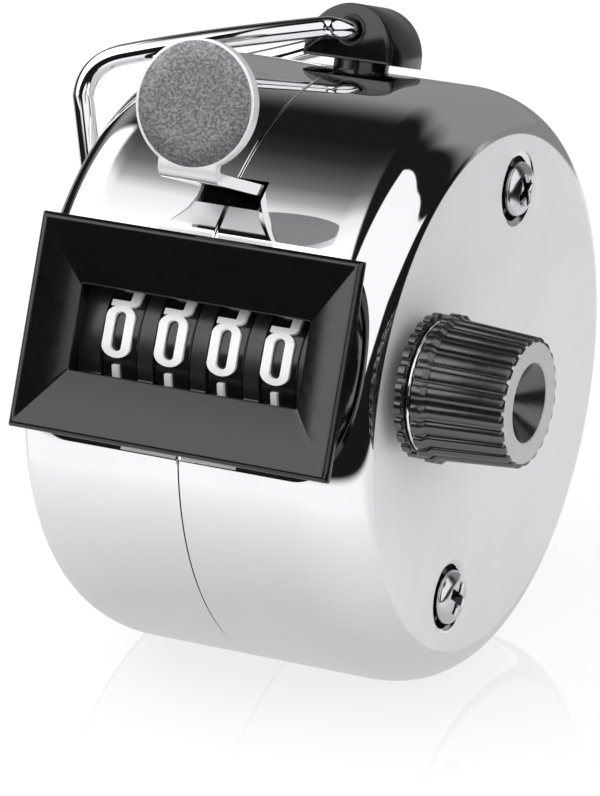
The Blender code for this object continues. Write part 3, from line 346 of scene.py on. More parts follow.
def dulled(material, mask, roughness, metallic):
    """Makes a plated material rougher and paler where a mask says so."""
    shader = material.node_tree.nodes["Principled BSDF"]
    for label, value in (("Roughness", roughness), ("Metallic", metallic)):
        socket = shader.inputs[label]
        before = Number(socket.links[0].from_socket) if socket.links else socket.default_value
        feed(socket, laid_over(before, value, mask))


def darkened(material, mask, level):
    """Darkens the colour of a material where a mask says so."""
    socket = material.node_tree.nodes["Principled BSDF"].inputs["Base Color"]
    feed(socket, mixed(mask, socket.links[0].from_socket, (level, level, level, 1)))


def placed_axes(material):
    """The three coordinates of a point in millimetres about the middle of the seam."""
    axes = axes_of(made(material.node_tree, "ShaderNodeTexCoord", "Object"))
    return [(axis - middle) * (1 / MM) for axis, middle in zip(axes, DRUM_CENTRE)]


def distance_of(along, up, centre=(0.0, 0.0)):
    along, up = along - centre[0], up - centre[1]
    return (along * along + up * up).math("SQRT")


def polar(distance, angle):
    return -distance * math.cos(angle), distance * math.sin(angle)


def point(x, y, z):
    """A point of the frame from millimetres about the middle of the seam."""
    return DRUM_CENTRE + MM * Vector((x, y, z))


def skin_radius(x):
    past = abs(x) - (HALF_WIDTH - EDGE_AXIAL)
    if past <= 0:
        return DRUM_RADIUS
    if past >= EDGE_AXIAL:
        return DRUM_RADIUS - EDGE_RADIAL
    return DRUM_RADIUS - EDGE_RADIAL + EDGE_RADIAL * math.sqrt(1 - (past / EDGE_AXIAL)**2)


def screw_distance(along, up):
    """How far a point lies from the axis of the nearest case screw."""
    upper, lower = (distance_of(along, up, polar(SCREW_CIRCLE, angle)) for angle in SCREW_ANGLES)
    return upper.math("MINIMUM", lower)


chrome = plated("chrome_plate", (0.80, 0.81, 0.82), (0.90, 0.905, 0.91), 0.025, 0.055, 5000.0, 0.006)
case_chrome = plated("case_chrome_plate", (0.83, 0.835, 0.84), (0.90, 0.905, 0.91), 0.025, 0.045, 5000.0, 0.004)
case_x, case_y, case_z = placed_axes(case_chrome)
off_seam = case_x.math("ABSOLUTE")
dulled(case_chrome, off_seam.smooth(HALF_WIDTH - 0.02, HALF_WIDTH - 0.003), 0.45, 0.15)
relief_floor = distance_of(case_y, case_z).band(22.1, DRUM_RADIUS - 0.035, 0.012)
dulled(case_chrome, relief_floor * off_seam.band(0.2, 4.7, 0.03), 0.42, 0.3)
# Painted shade: the chrome is painted nearly black in the narrow gap round each screw head, where shade falls
# in the seat.
seat_shade = screw_distance(case_y, case_z).smooth(2.48, 2.40)
darkened(case_chrome, seat_shade * off_seam.smooth(HALF_WIDTH - 0.28, HALF_WIDTH - 0.34), 0.02)


def whole_turn(count):
    return [math.tau * i / count for i in range(count)]


def quarter(steps):
    return [math.radians(90) * i / steps for i in range(steps + 1)]


def circle(x, radius, count, centre=(0.0, 0.0)):
    if radius == 0:
        return [(x, centre[0], centre[1])]
    return [(x, centre[0] + radius * math.cos(t), centre[1] + radius * math.sin(t)) for t in whole_turn(count)]


def skinned(bm, rings, closed=False, capped=False):
    """Joins rings of points into a skin; a ring of one point is a pole."""
    rows = [[bm.verts.new(point(*place)) for place in ring] for ring in rings]
    pairs = list(zip(rows, rows[1:]))
    if closed:
        pairs.append((rows[-1], rows[0]))
    if capped:
        bm.faces.new(rows[0])
        bm.faces.new(rows[-1])
    for near, far in pairs:
        count = max(len(near), len(far))
        for i in range(count):
            j = (i + 1) % count
            if len(near) == 1:
                bm.faces.new((near[0], far[i], far[j]))
            elif len(far) == 1:
                bm.faces.new((near[i], near[j], far[0]))
            else:
                bm.faces.new((near[i], near[j], far[j], far[i]))


def turned(bm, profile, count, centre=(0.0, 0.0), closed=False):
    skinned(bm, [circle(x, radius, count, centre) for x, radius in profile], closed)


def prism(bm, outline, x0, x1):
    skinned(bm, [[(x0, y, z) for y, z in outline], [(x1, y, z) for y, z in outline]], capped=True)


def finished(name, bm, material, angle=32.0):
    """Turns a bmesh into an object whose faces point out, smooth except at its sharp edges."""
    bmesh.ops.recalc_face_normals(bm, faces=bm.faces)
    mesh = bpy.data.meshes.new(name)
    bm.to_mesh(mesh)
    bm.free()
    mesh.materials.append(material)
    mesh.shade_smooth()
    mesh.set_sharp_from_angle(angle=math.radians(angle))
    return linked(name, mesh)


def skin_piece(name, material, rings, angle=32.0, **ends):
    bm = bmesh.new()
    skinned(bm, rings, **ends)
    return finished(name, bm, material, angle)


def turned_piece(name, material, profile, count, centre=(0.0, 0.0), closed=False, angle=32.0):
    bm = bmesh.new()
    turned(bm, profile, count, centre, closed)
    return finished(name, bm, material, angle)


def settled(piece):
    """Replaces a piece's mesh by what its modifiers make of it."""
    bpy.context.view_layer.update()
    evaluated = piece.evaluated_get(bpy.context.evaluated_depsgraph_get())
    mesh = bpy.data.meshes.new_from_object(evaluated)
    piece.modifiers.clear()
    old = piece.data
    piece.data = mesh
    bpy.data.meshes.remove(old)


def cut_by(piece, cutters):
    """Cuts a piece by several solids at once, and removes these."""
    group = bpy.data.collections.new(f"{piece.name}_cutters")
    for cutter in cutters:
        group.objects.link(cutter)
    knife = piece.modifiers.new("cut", "BOOLEAN")
    knife.operation = "DIFFERENCE"
    knife.operand_type = "COLLECTION"
    knife.solver = "EXACT"
    knife.collection = group
    settled(piece)
    for cutter in cutters:
        bpy.data.objects.remove(cutter, do_unlink=True)
    bpy.data.collections.remove(group)


def rounded(piece, width, segments=2, angle=32.0):
    """Breaks the sharp edges of a piece by a small radius."""
    bevel = piece.modifiers.new("bevel", "BEVEL")
    bevel.width = width * MM
    bevel.segments = segments
    bevel.limit_method = "ANGLE"
    bevel.angle_limit = math.radians(angle)
    settled(piece)
    piece.data.shade_smooth()
    piece.data.set_sharp_from_angle(angle=math.radians(40.0))


def given(piece, body, slot, *nodes):
    """Fixes a finished piece to its body, in place of the plain solids that it stands for."""
    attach(piece, body)
    if nodes:
        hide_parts(*nodes)


STRIP_TOP = Vector(polar(DRUM_RADIUS, LEVER_EXIT_ANGLE))
BACKWARD = Vector((math.cos(LEVER_SLOPE), -math.sin(LEVER_SLOPE)))
UPWARD = Vector((math.sin(LEVER_SLOPE), math.cos(LEVER_SLOPE)))
SLOT_HALF_WIDTH = LEVER_HALF_WIDTH + 0.22
SLOT_FRONT = -LEVER_THICKNESS - 1.08
RELIEF_ANGLE = math.radians(48.3)
SEAT_RADIUS = 2.38
SEAT_RIM = 2.98
KNOB_HOLE = 1.4
STEM_HOLE = 2.4
BEYOND = 40
SEAM_HALF_GAP = 0.045
LIP_RADIUS = 0.11
HUB_OUT = Vector(polar(1.0, HUB_ANGLE))
HUB_ALONG = Vector((math.sin(HUB_ANGLE), math.cos(HUB_ANGLE)))


def on_strip(back, up):
    return STRIP_TOP + BACKWARD * back + UPWARD * up


def on_hub(x, along, out):
    """A point by its places along the hub and outwards from the drum's axis."""
    place = HUB_OUT * out + HUB_ALONG * along
    return x, place.x, place.y


def stem_ring(radius, out):
    """A ring about the stem of the hub."""
    return [on_hub(radius * math.cos(t), radius * math.sin(t), out) for t in whole_turn(48)]


def window_cut(bm):
    n = Vector(polar(1.0, SIGHT_ANGLE))
    v = Vector((math.sin(SIGHT_ANGLE), math.cos(SIGHT_ANGLE)))
    outline = [n * WINDOW_CUT - v * BEYOND, n * BEYOND - v * BEYOND, n * BEYOND + v * BEYOND,
               n * WINDOW_CUT + v * BEYOND]
    prism(bm, outline, -BEYOND, BEYOND)


def foot_cut(bm):
    outline = [(-BEYOND, -BEYOND), (BEYOND, -BEYOND), (BEYOND, -AXIS_HEIGHT), (-BEYOND, -AXIS_HEIGHT)]
    prism(bm, outline, -BEYOND, BEYOND)


def slot_cut(bm):
    outline = [on_strip(-3, SLOT_FRONT), on_strip(-3, 0.3), on_strip(3, 0.3), on_strip(3, SLOT_FRONT)]
    prism(bm, outline, -SLOT_HALF_WIDTH, SLOT_HALF_WIDTH)


def relief_cut(bm):
    """The shallow relief that widens downwards below the lever's slot."""
    down = Vector((-math.sin(RELIEF_ANGLE), -math.cos(RELIEF_ANGLE)))
    out = Vector(polar(1.0, RELIEF_ANGLE))
    start = Vector(polar(DRUM_RADIUS, RELIEF_ANGLE))
    rows = []
    for along, wider, depth in ((-0.6, 0.0, -0.15), (0.5, 0.4, -0.13), (2.1, 1.7, -0.085)):
        half = SLOT_HALF_WIDTH + wider
        low = start + down * along + out * depth
        high = start + down * along + out * 2
        rows.append([(-half, *low), (half, *low), (half, *high), (-half, *high)])
    skinned(bm, rows, capped=True)


def hub_cut(bm):
    skinned(bm, [stem_ring(STEM_HOLE, DRUM_RADIUS - 3), stem_ring(STEM_HOLE, DRUM_RADIUS + 3)], capped=True)


def seat_cut(side, angle):
    """The stepped seat of a case screw, with a soft outer edge."""
    def build(bm):
        profile = [(-3, 0), (-3, 1.2), (-0.78, 1.2), (-0.78, SEAT_RADIUS), (-0.34, SEAT_RADIUS), (-0.22, 2.42),
                   (-0.12, 2.52), (-0.05, 2.68), (-0.012, 2.84), (0.02, SEAT_RIM), (1, SEAT_RIM), (1, 0)]
        turned(bm, [(side * (HALF_WIDTH + x), r) for x, r in profile], 64, polar(SCREW_CIRCLE, angle))
    return build


def knob_hole_cut(bm):
    turned(bm, [(11, 0), (11, KNOB_HOLE), (18, KNOB_HOLE), (18, 0)], 48,
           polar(NUMBER_SHAFT_DISTANCE, SIGHT_ANGLE))


def scratch_solid(build):
    bm = bmesh.new()
    build(bm)
    return finished("cutter", bm, chrome)


def true_normals(piece):
    """Gives the drum's outer skin the normals of its exact shape, so that its mirror runs clean past cuts."""
    mesh = piece.data
    mesh.shade_smooth()
    mesh.set_sharp_from_angle(angle=math.radians(30))
    corners = np.empty(len(mesh.loops) * 3, dtype=np.float32)
    mesh.corner_normals.foreach_get("vector", corners)
    corners = corners.reshape(-1, 3)
    places = np.array([vertex.co[:] for vertex in mesh.vertices])
    places = (places - np.array(DRUM_CENTRE)) / MM
    for polygon in mesh.polygons:
        face = np.array(polygon.normal)
        for index in polygon.loop_indices:
            x, y, z = places[mesh.loops[index].vertex_index]
            radius = math.hypot(y, z)
            if radius < 1e-6 or abs(x) > HALF_WIDTH - 0.001 or abs(x) < LIP_RADIUS + SEAM_HALF_GAP - 0.001:
                continue
            if abs(radius - skin_radius(x)) > 0.012:
                continue
            along = max(abs(x) - (HALF_WIDTH - EDGE_AXIAL), 0.0) / EDGE_AXIAL**2
            outward = max(radius - (DRUM_RADIUS - EDGE_RADIAL), 0.0) / EDGE_RADIAL**2
            exact = np.array((math.copysign(along, x), outward * y / radius, outward * z / radius))
            exact /= np.linalg.norm(exact)
            if exact.dot(face) > 0.93:
                corners[index] = exact
    mesh.normals_split_custom_set(corners.tolist())


def make_shell(side):
    name = "left_shell" if side < 0 else "right_shell"
    edge = HALF_WIDTH - EDGE_AXIAL
    flat = DRUM_RADIUS - EDGE_RADIAL
    profile = [(HALF_WIDTH, radius) for radius in (0, 6, 12, 17.5)]
    profile += [(edge + EDGE_AXIAL * math.sin(t), flat + EDGE_RADIAL * math.cos(t))
                for t in reversed(quarter(30))]
    profile += [(edge * share, DRUM_RADIUS) for share in (0.8, 0.6, 0.4, 0.2)]
    profile += [(SEAM_HALF_GAP + LIP_RADIUS * (1 - math.sin(t)), DRUM_RADIUS - LIP_RADIUS * (1 - math.cos(t)))
                for t in quarter(4)]
    profile.append((SEAM_HALF_GAP, DRUM_RADIUS - WALL))
    profile += [(edge + (EDGE_AXIAL - WALL) * math.sin(t), flat + (EDGE_RADIAL - WALL) * math.cos(t))
                for t in quarter(10)]
    profile.append((HALF_WIDTH - WALL, 0))
    shell = turned_piece(name + "_chromed", case_chrome, [(side * x, radius) for x, radius in profile], 240)
    cuts = [window_cut, foot_cut, slot_cut, relief_cut, hub_cut]
    cuts += [seat_cut(side, angle) for angle in SCREW_ANGLES]
    if side > 0:
        cuts.append(knob_hole_cut)
    cut_by(shell, [scratch_solid(build) for build in cuts])
    true_normals(shell)
    given(shell, "case", "chrome", name)


make_shell(-1)
make_shell(1)


# The case screws: pan-head screws with a cross recess, bright zinc plated, two in each end. They are
# turned, then the recess is punched, and they hold the cups to the frame inside.
HEAD_RADIUS = 2.05
HEAD_SEAT = 13.95
HEAD_HEIGHT = 1.0
HEAD_SIDE = 0.3
HEAD_CROWN = 0.55
SHANK_RADIUS = 0.9
RECESS = ((0.80, 0.55, 0.24), (0.35, 1.10, 0.34), (-0.3, 1.50, 0.46))

screw_steel = plated("screw_zinc", (0.60, 0.61, 0.62), (0.82, 0.83, 0.84), 0.12, 0.24, 2600.0, 0.05)
screw_x, screw_y, screw_z = placed_axes(screw_steel)
off_axis = screw_distance(screw_y, screw_z).math("MINIMUM", HEAD_RADIUS)
slope = (off_axis * (1 / (HEAD_CROWN * HEAD_RADIUS)) - (1 - HEAD_CROWN) / HEAD_CROWN).math("MAXIMUM", 0.0)
dome = (1.0 - slope * slope).math("MAXIMUM", 0.0).math("SQRT")
sunk = dome * (HEAD_HEIGHT - HEAD_SIDE) + (HEAD_SEAT + HEAD_SIDE) - screw_x.math("ABSOLUTE")
# Painted shade: the zinc inside the cross recess is painted nearly black, for the shade in the hollow.
darkened(screw_steel, sunk.smooth(0.10, 0.22) * off_axis.smooth(1.75, 1.65), 0.03)

profile = [(7.8, 0), (7.8, 0.7), (8.1, SHANK_RADIUS), (HEAD_SEAT, SHANK_RADIUS),
           (HEAD_SEAT, HEAD_RADIUS - 0.08), (HEAD_SEAT + 0.08, HEAD_RADIUS),
           (HEAD_SEAT + HEAD_SIDE, HEAD_RADIUS)]
for t in quarter(8)[1:]:
    profile.append((HEAD_SEAT + HEAD_SIDE + (HEAD_HEIGHT - HEAD_SIDE) * math.sin(t),
                    HEAD_RADIUS * (1 - HEAD_CROWN + HEAD_CROWN * math.cos(t))))
profile.append((HEAD_SEAT + HEAD_HEIGHT, 0))
screw_form = turned_piece("case_screw_form", screw_steel, profile, 64)
bm = bmesh.new()
for turn in (0, math.radians(90)):
    cos, sin = math.cos(turn), math.sin(turn)
    rows = []
    for depth, long, thin in RECESS:
        corners = ((-long, -thin), (long, -thin), (long, thin), (-long, thin))
        rows.append([(HEAD_SEAT + HEAD_HEIGHT - depth, y * cos - z * sin, y * sin + z * cos)
                     for y, z in corners])
    skinned(bm, rows, capped=True)
recess = finished("recess_form", bm, screw_steel)
knife = screw_form.modifiers.new("recess", "BOOLEAN")
knife.operation = "DIFFERENCE"
knife.solver = "EXACT"
knife.use_self = True
knife.object = recess
settled(screw_form)
bpy.data.objects.remove(recess, do_unlink=True)
rounded(screw_form, 0.05, 2)


def node_group(name, **inputs):
    """A Geometry Nodes tree with named inputs, and the outputs that these give inside it."""
    tree = bpy.data.node_groups.new(name, "GeometryNodeTree")
    for label, kind in {"Geometry": "Geometry", **inputs}.items():
        tree.interface.new_socket(label.replace("_", " "), in_out="INPUT", socket_type=f"NodeSocket{kind}")
    tree.interface.new_socket("Geometry", in_out="OUTPUT", socket_type="NodeSocketGeometry")
    return tree, tree.nodes.new("NodeGroupInput").outputs


def ended(tree, geometry, finish):
    """Makes the instances at the end of a tree real and puts the finish on."""
    realized = made(tree, "GeometryNodeRealizeInstances", Geometry=geometry)
    coated = made(tree, "GeometryNodeSetMaterial", Geometry=realized, Material=finish)
    feed(tree.nodes.new("NodeGroupOutput").inputs[0], coated)


def node_piece(name, tree, **values):
    """A plain mesh made by a tree with its named inputs set; the forms that it is made from go."""
    piece = linked(name, bpy.data.meshes.new(name))
    maker = piece.modifiers.new("maker", "NODES")
    maker.node_group = tree
    for item in tree.interface.items_tree:
        if item.in_out == "INPUT" and item.name.replace(" ", "_") in values:
            maker[item.identifier] = values[item.name.replace(" ", "_")]
    settled(piece)
    for value in values.values():
        if isinstance(value, bpy.types.Object):
            bpy.data.objects.remove(value, do_unlink=True)
    return piece


screw_tree, known = node_group("screws_on_two_ends", Screw="Object", Finish="Material", Circle_radius="Float",
                               Upper_angle="Float", Lower_angle="Float", Axis="Vector")
screw_shape = made(screw_tree, "GeometryNodeObjectInfo", "Geometry", Object=known["Screw"])
centred = made(screw_tree, "GeometryNodeTransform", Geometry=screw_shape, Translation=-DRUM_CENTRE)
all_screws = screw_tree.nodes.new("GeometryNodeJoinGeometry")
for label, roll in (("Upper angle", 0.38), ("Lower angle", 0.95)):
    radius, angle = Number(known["Circle radius"]), Number(known[label])
    spot = made(screw_tree, "ShaderNodeCombineXYZ", Y=angle.math("COSINE") * radius * -1.0,
                Z=angle.math("SINE") * radius)
    for half_turn in (0.0, math.pi):
        moved = made(screw_tree, "GeometryNodeTransform", Geometry=centred, Rotation=(roll, 0, half_turn))
        for step in (spot, known["Axis"]):
            moved = made(screw_tree, "GeometryNodeTransform", Geometry=moved, Translation=step)
        feed(all_screws.inputs[0], moved)
ended(screw_tree, all_screws.outputs[0], known["Finish"])
screws = node_piece("case_screws", screw_tree, Screw=screw_form, Finish=screw_steel, Axis=DRUM_CENTRE,
                    Circle_radius=SCREW_CIRCLE * MM, Upper_angle=SCREW_ANGLES[0], Lower_angle=SCREW_ANGLES[1])
given(screws, "case", "zinc_steel", "upper_right_case_screw", "lower_right_case_screw",
      "upper_left_case_screw", "lower_left_case_screw")


# The window bezel: one black moulding. Its skirt is shaped to the drum, and a shallow funnel leads
# from the square rim to the opening. It is pressed over the cut in the two cups.
RIM_DISTANCE = 23.3
SKIRT_DISTANCE = 21.2
BEZEL_HALF = (13.0, 7.93)
OPENING_HALF = (9.27, 3.15)

black_plastic = surface("black_moulding", ((700.0, 3.0), (0.003, 0.003, 0.0033), (0.007, 0.007, 0.0073)),
                        ((1500.0, 3.0), 0.11, 0.17), ((9000.0, 3.0), 0.05, 0.00002), IOR=1.6)


def on_sight(u, v, distance):
    y = -math.cos(SIGHT_ANGLE) * distance + math.sin(SIGHT_ANGLE) * v
    z = math.sin(SIGHT_ANGLE) * distance + math.cos(SIGHT_ANGLE) * v
    return u, y, z


def rectangle(half_u, half_v, steps_u=40, steps_v=24):
    ring = [(-half_u + 2 * half_u * i / steps_u, -half_v) for i in range(steps_u)]
    ring += [(half_u, -half_v + 2 * half_v * i / steps_v) for i in range(steps_v)]
    ring += [(half_u - 2 * half_u * i / steps_u, half_v) for i in range(steps_u)]
    ring += [(-half_u, half_v - 2 * half_v * i / steps_v) for i in range(steps_v)]
    return ring


def drum_section(ring, distance):
    """Slides each point of a ring along its own ray until it meets the drum's skin."""
    section = []
    for u, v in ring:
        inside, outside = 0.0, 3.0
        for _ in range(40):
            middle = (inside + outside) / 2
            if abs(u * middle) < HALF_WIDTH and math.hypot(distance, v * middle) < skin_radius(u * middle):
                inside = middle
            else:
                outside = middle
        section.append((u * inside, v * inside))
    return section


outer = rectangle(*BEZEL_HALF)
bezel_rings = [
    (drum_section(outer, SKIRT_DISTANCE), SKIRT_DISTANCE),
    (outer, RIM_DISTANCE - 0.75),
    (outer, RIM_DISTANCE - 0.25),
    (rectangle(BEZEL_HALF[0] - 0.25, BEZEL_HALF[1] - 0.25), RIM_DISTANCE),
    (rectangle(BEZEL_HALF[0] - 0.5, BEZEL_HALF[1] - 0.5), RIM_DISTANCE),
    (rectangle(*OPENING_HALF), RIM_DISTANCE - 1.0),
    (rectangle(*OPENING_HALF), SKIRT_DISTANCE),
]
rings = [[on_sight(u, v, distance) for u, v in ring] for ring, distance in bezel_rings]
bezel = skin_piece("window_bezel_moulding", black_plastic, rings, 9.0, closed=True)
rounded(bezel, 0.10, 3, 9.0)
given(bezel, "case", "black_plastic", "window_bezel")


# The number wheels: black moulded rims on the shaft, each with a gear for the transfer pinion. The
# figures 0 to 9 stand out of the rim and are hot-stamped white.
SHAFT = Vector(polar(NUMBER_SHAFT_DISTANCE, SIGHT_ANGLE))
SHAFT_BORE = 1.2
WHEEL_X = {"thousands": -6.18, "hundreds": -1.86, "tens": 2.46, "units": 6.78}
WHEEL_RADIUS = 6.0
WHEEL_HALF = 1.45
RIM_EDGE = 0.18
BOSS_RADIUS = 4.1
FIGURE_TOP = 6.3
FIGURE_HEIGHT = 3.92
FIGURE_WIDTH = 2.3
FIGURE_STROKE = 0.47
FIGURE_STRETCH = 1.5
FIGURE_SHIFT = -0.25
FIGURE_RAISE = math.radians(1.3)
THIN_ONE = 0.72
GEAR_TEETH = 20
GEAR_ROOT = 4.4
GEAR_TIP = 5.4
FRONT = math.pi - SIGHT_ANGLE

wheel_black = surface("wheel_moulding", ((900.0, 3.0), (0.006, 0.0055, 0.0055), (0.013, 0.012, 0.012)),
                      ((2400.0, 3.0), 0.12, 0.20), ((7000.0, 2.0), 0.06, 0.00002), IOR=1.6)
figure_white = surface("stamped_white", ((2500.0, 3.0), (0.86, 0.86, 0.85), (0.94, 0.94, 0.93)),
                       ((3000.0, 2.0), 0.30, 0.45), ((8000.0, 2.0), 0.08, 0.00001))


def on_shaft(x, radius, turn):
    return x, SHAFT[0] + radius * math.cos(turn), SHAFT[1] + radius * math.sin(turn)


def toothed(x, root, tip):
    """One end of a wheel's gear, or a plain ring with as many points if root and tip are the same."""
    return [on_shaft(x, radius, math.radians(-40) + math.tau * (i + share) / GEAR_TEETH)
            for i in range(GEAR_TEETH)
            for radius, share in ((root, -0.30), (tip, -0.10), (tip, 0.10), (root, 0.30))]


def bow(centre_x, centre_y, radius_x, radius_y, first, last, steps):
    """Points on a part of an ellipse, between two angles in degrees."""
    turns = [math.radians(first + (last - first) * i / steps) for i in range(steps + 1)]
    return [(centre_x + radius_x * math.cos(t), centre_y + radius_y * math.sin(t)) for t in turns]


def figure_paths():
    """The middle line of each figure's strokes, and whether it closes; (0, 0) is the figure's middle."""
    w = (FIGURE_WIDTH / FIGURE_STRETCH - FIGURE_STROKE) / 2
    h = (FIGURE_HEIGHT - FIGURE_STROKE) / 2
    half = FIGURE_STROKE / 2
    r = 0.62
    c = 0.32
    top = bow(0, h - r, w, r, 0, 180, 20)
    bottom = bow(0, r - h, w, r, 180, 360, 20)
    two = bow(0, h - r, w, r, 170, -30, 20) + bow(c - w, c - h, c, c, 180, 270, 4) + [(w, -h)]
    three = bow(0, h - r, w, r, 165, -75, 20) + [(0, 0.02)] + bow(0, r - h, w, r, 75, -165, 20)
    five = [(w * 0.9, h)] + bow(c - w, h - c, c, c, 90, 180, 4) + bow(c - w, 0.55, c, c, 180, 270, 4)
    five += bow(0, 0.23 - r, w, r, 80, 0, 8) + bow(0, r - h, w, r, 0, -165, 16)
    six = [(w + half * 0.6, h)] + bow(c - w, h - c, c, c, 90, 180, 4) + bottom
    six += bow(w - c, 0.3 - c, c, c, 0, 90, 4) + [(-w + 0.28, 0.3)]
    seven = [(-w, h)] + bow(w - c, h - c, c, c, 90, 0, 4) + [(-w * 0.25, -h - half)]
    return {
        0: [(top + bottom, True)], 1: [([(0, 1.4), (0, 0), (0, -1.4)], False)], 2: [(two, False)],
        3: [(three, False)],
        4: [([(w * 0.2, h + half), (-w, -0.6), (-w + 0.05, -0.75), (w + half, -0.75)], False),
            ([(w * 0.5, h * 0.35), (w * 0.5, -0.5), (w * 0.5, -h - half)], False)],
        5: [(five, False)], 6: [(six, False)], 7: [(seven, False)],
        8: [(top + bottom, True), ([(0.28 - w, 0.1), (0, 0.1), (w - 0.28, 0.1)], False)],
        9: [([(-x, -y - 0.14) for x, y in six], False)],
    }


def stroked(bm, path, closes, wheel_x, middle_turn, top, thickness):
    """One stroke of a figure, as a band of even width that stands out of the wheel's rim."""
    places = [Vector(place) for place in path]
    places = [place for i, place in enumerate(places) if i == 0 or (place - places[i - 1]).length > 1e-4]
    if closes and (places[-1] - places[0]).length < 1e-4:
        places.pop()
    if not closes:
        finer = []
        for near, far in zip(places, places[1:]):
            steps = max(1, round((far - near).length / 0.3))
            finer += [near.lerp(far, i / steps) for i in range(steps)]
        places = finer + [places[-1]]
    count = len(places)
    root = WHEEL_RADIUS - 0.1
    rows = []
    for i, place in enumerate(places):
        before = places[(i - 1) % count] if closes or i else place
        after = places[(i + 1) % count] if closes or i < count - 1 else place
        along = (after - before).normalized()
        side = Vector((-along.y, along.x)) * thickness / 2
        rows.append([on_shaft(wheel_x + FIGURE_SHIFT + FIGURE_STRETCH * edge.x, radius,
                              middle_turn - edge.y / FIGURE_TOP)
                     for edge, radius in ((place + side, root), (place + side, top),
                                          (place - side, top), (place - side, root))])
    skinned(bm, rows, closed=closes, capped=not closes)


PATHS = figure_paths()

for wheel_name, wheel_x in WHEEL_X.items():
    left, right = wheel_x - WHEEL_HALF, wheel_x + WHEEL_HALF
    rim = WHEEL_RADIUS - RIM_EDGE
    profile = [(left, SHAFT_BORE), (left, rim)]
    profile += [(left + RIM_EDGE * (1 - math.cos(t)), rim + RIM_EDGE * math.sin(t)) for t in quarter(4)[1:]]
    profile += [(right - RIM_EDGE + RIM_EDGE * math.sin(t), rim + RIM_EDGE * math.cos(t)) for t in quarter(4)]
    profile.append((right, SHAFT_BORE))
    bm = bmesh.new()
    turned(bm, profile, 120, SHAFT, closed=True)
    if wheel_name != "units":
        start, end = right - 0.1, right + 0.85
        skinned(bm, [toothed(start, SHAFT_BORE, SHAFT_BORE), toothed(start, GEAR_ROOT, GEAR_TIP),
                     toothed(end, GEAR_ROOT, GEAR_TIP), toothed(end, SHAFT_BORE, SHAFT_BORE)], closed=True)
    if wheel_name != "thousands":
        start = left + 0.1
        turned(bm, [(start, SHAFT_BORE), (start, BOSS_RADIUS), (start - 0.4, BOSS_RADIUS),
                    (start - 0.4, SHAFT_BORE)], 64, SHAFT, closed=True)
    wheel = finished(f"{wheel_name}_wheel_rim", bm, wheel_black)
    given(wheel, f"{wheel_name}_wheel", "wheel_plastic", f"{wheel_name}_wheel")

    bm = bmesh.new()
    for digit in range(10):
        middle_turn = FRONT - FIGURE_RAISE + math.radians(36) * digit
        thickness = FIGURE_STROKE * (THIN_ONE if digit == 1 else 1.0)
        for number, (path, closes) in enumerate(PATHS[digit]):
            stroked(bm, path, closes, wheel_x, middle_turn, FIGURE_TOP - 0.02 * number, thickness)
    figures = finished(f"{wheel_name}_wheel_figures", bm, figure_white, 40.0)
    given(figures, f"{wheel_name}_wheel", "wheel_plastic")


# The mask behind the window: a dark moulded comb, curved round the wheels, whose bars fill the gaps
# between the wheels and hide their gears. It is held between the bezel and the case.
MASK_BARS = ((-9.6, -7.73), (-4.63, -3.41), (-0.31, 0.91), (4.01, 5.23), (8.33, 9.6))
MASK_OUTER = 6.15
MASK_INNER = 5.62
RAIL_HALF = 9.58
mask_dark = surface("mask_moulding", ((900.0, 3.0), (0.012, 0.012, 0.012), (0.022, 0.022, 0.022)),
                    ((2400.0, 3.0), 0.26, 0.36), ((7000.0, 2.0), 0.10, 0.00002), IOR=1.6)


def bar_section(low_x, high_x, inner, outer, degrees):
    """The four corners of a bar round the wheels, at an angle down from the line of sight."""
    turn = FRONT - math.radians(degrees)
    return [on_shaft(x, radius, turn)
            for x, radius in ((low_x, inner), (high_x, inner), (high_x, outer), (low_x, outer))]


bm = bmesh.new()
for low_x, high_x in MASK_BARS:
    rows = []
    for i in range(41):
        degrees = -40 + 80 * i / 40
        lift = min(max(0.0, (abs(degrees) - 30) / 4), 1.0)
        rows.append(bar_section(low_x, high_x, MASK_INNER + (6.40 - MASK_INNER) * lift,
                                MASK_OUTER + (6.60 - MASK_OUTER) * lift, degrees))
    skinned(bm, rows, capped=True)
for first, last in ((-39, -35), (35, 39)):
    skinned(bm, [bar_section(-RAIL_HALF, RAIL_HALF, 6.41, 6.59, first + (last - first) * i / 4)
                 for i in range(5)], capped=True)
mask_comb = finished("window_mask_comb", bm, mask_dark)
given(mask_comb, "case", "black_plastic")


# The works inside: steel plates, posts, shafts and pins, a brass ratchet and collar, and white acetal
# pinions. They are plain turned, stamped or moulded pieces, so the frame's own solids show.
works_steel = plated("works_zinc", (0.42, 0.43, 0.44), (0.60, 0.61, 0.62), 0.25, 0.42, 1800.0, 0.15)
works_brass = plated("works_brass", (0.55, 0.40, 0.17), (0.72, 0.56, 0.28), 0.22, 0.38, 1800.0, 0.12)
acetal = surface("white_acetal_moulding", ((800.0, 3.0), (0.66, 0.65, 0.61), (0.76, 0.75, 0.71)),
                 ((1500.0, 2.0), 0.35, 0.5), ((6000.0, 2.0), 0.12, 0.00002))
for material, node_names in (
        (works_steel, ("left_frame_plate", "right_frame_plate", "upper_post", "lower_post", "lever_pivot_pin",
                       "pinion_shaft", "spring_anchor_pin", "lever_spring", "detent_pin", "bail_hub_nut",
                       "drive_pawl_pin", "drive_pawl", "detent_pawl", "number_shaft")),
        (works_brass, ("shaft_collar", "units_ratchet")),
        (acetal, ("tens_pinion", "hundreds_pinion", "thousands_pinion"))):
    for node_name in node_names:
        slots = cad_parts[node_name].data.materials
        slots.clear()
        slots.append(material)


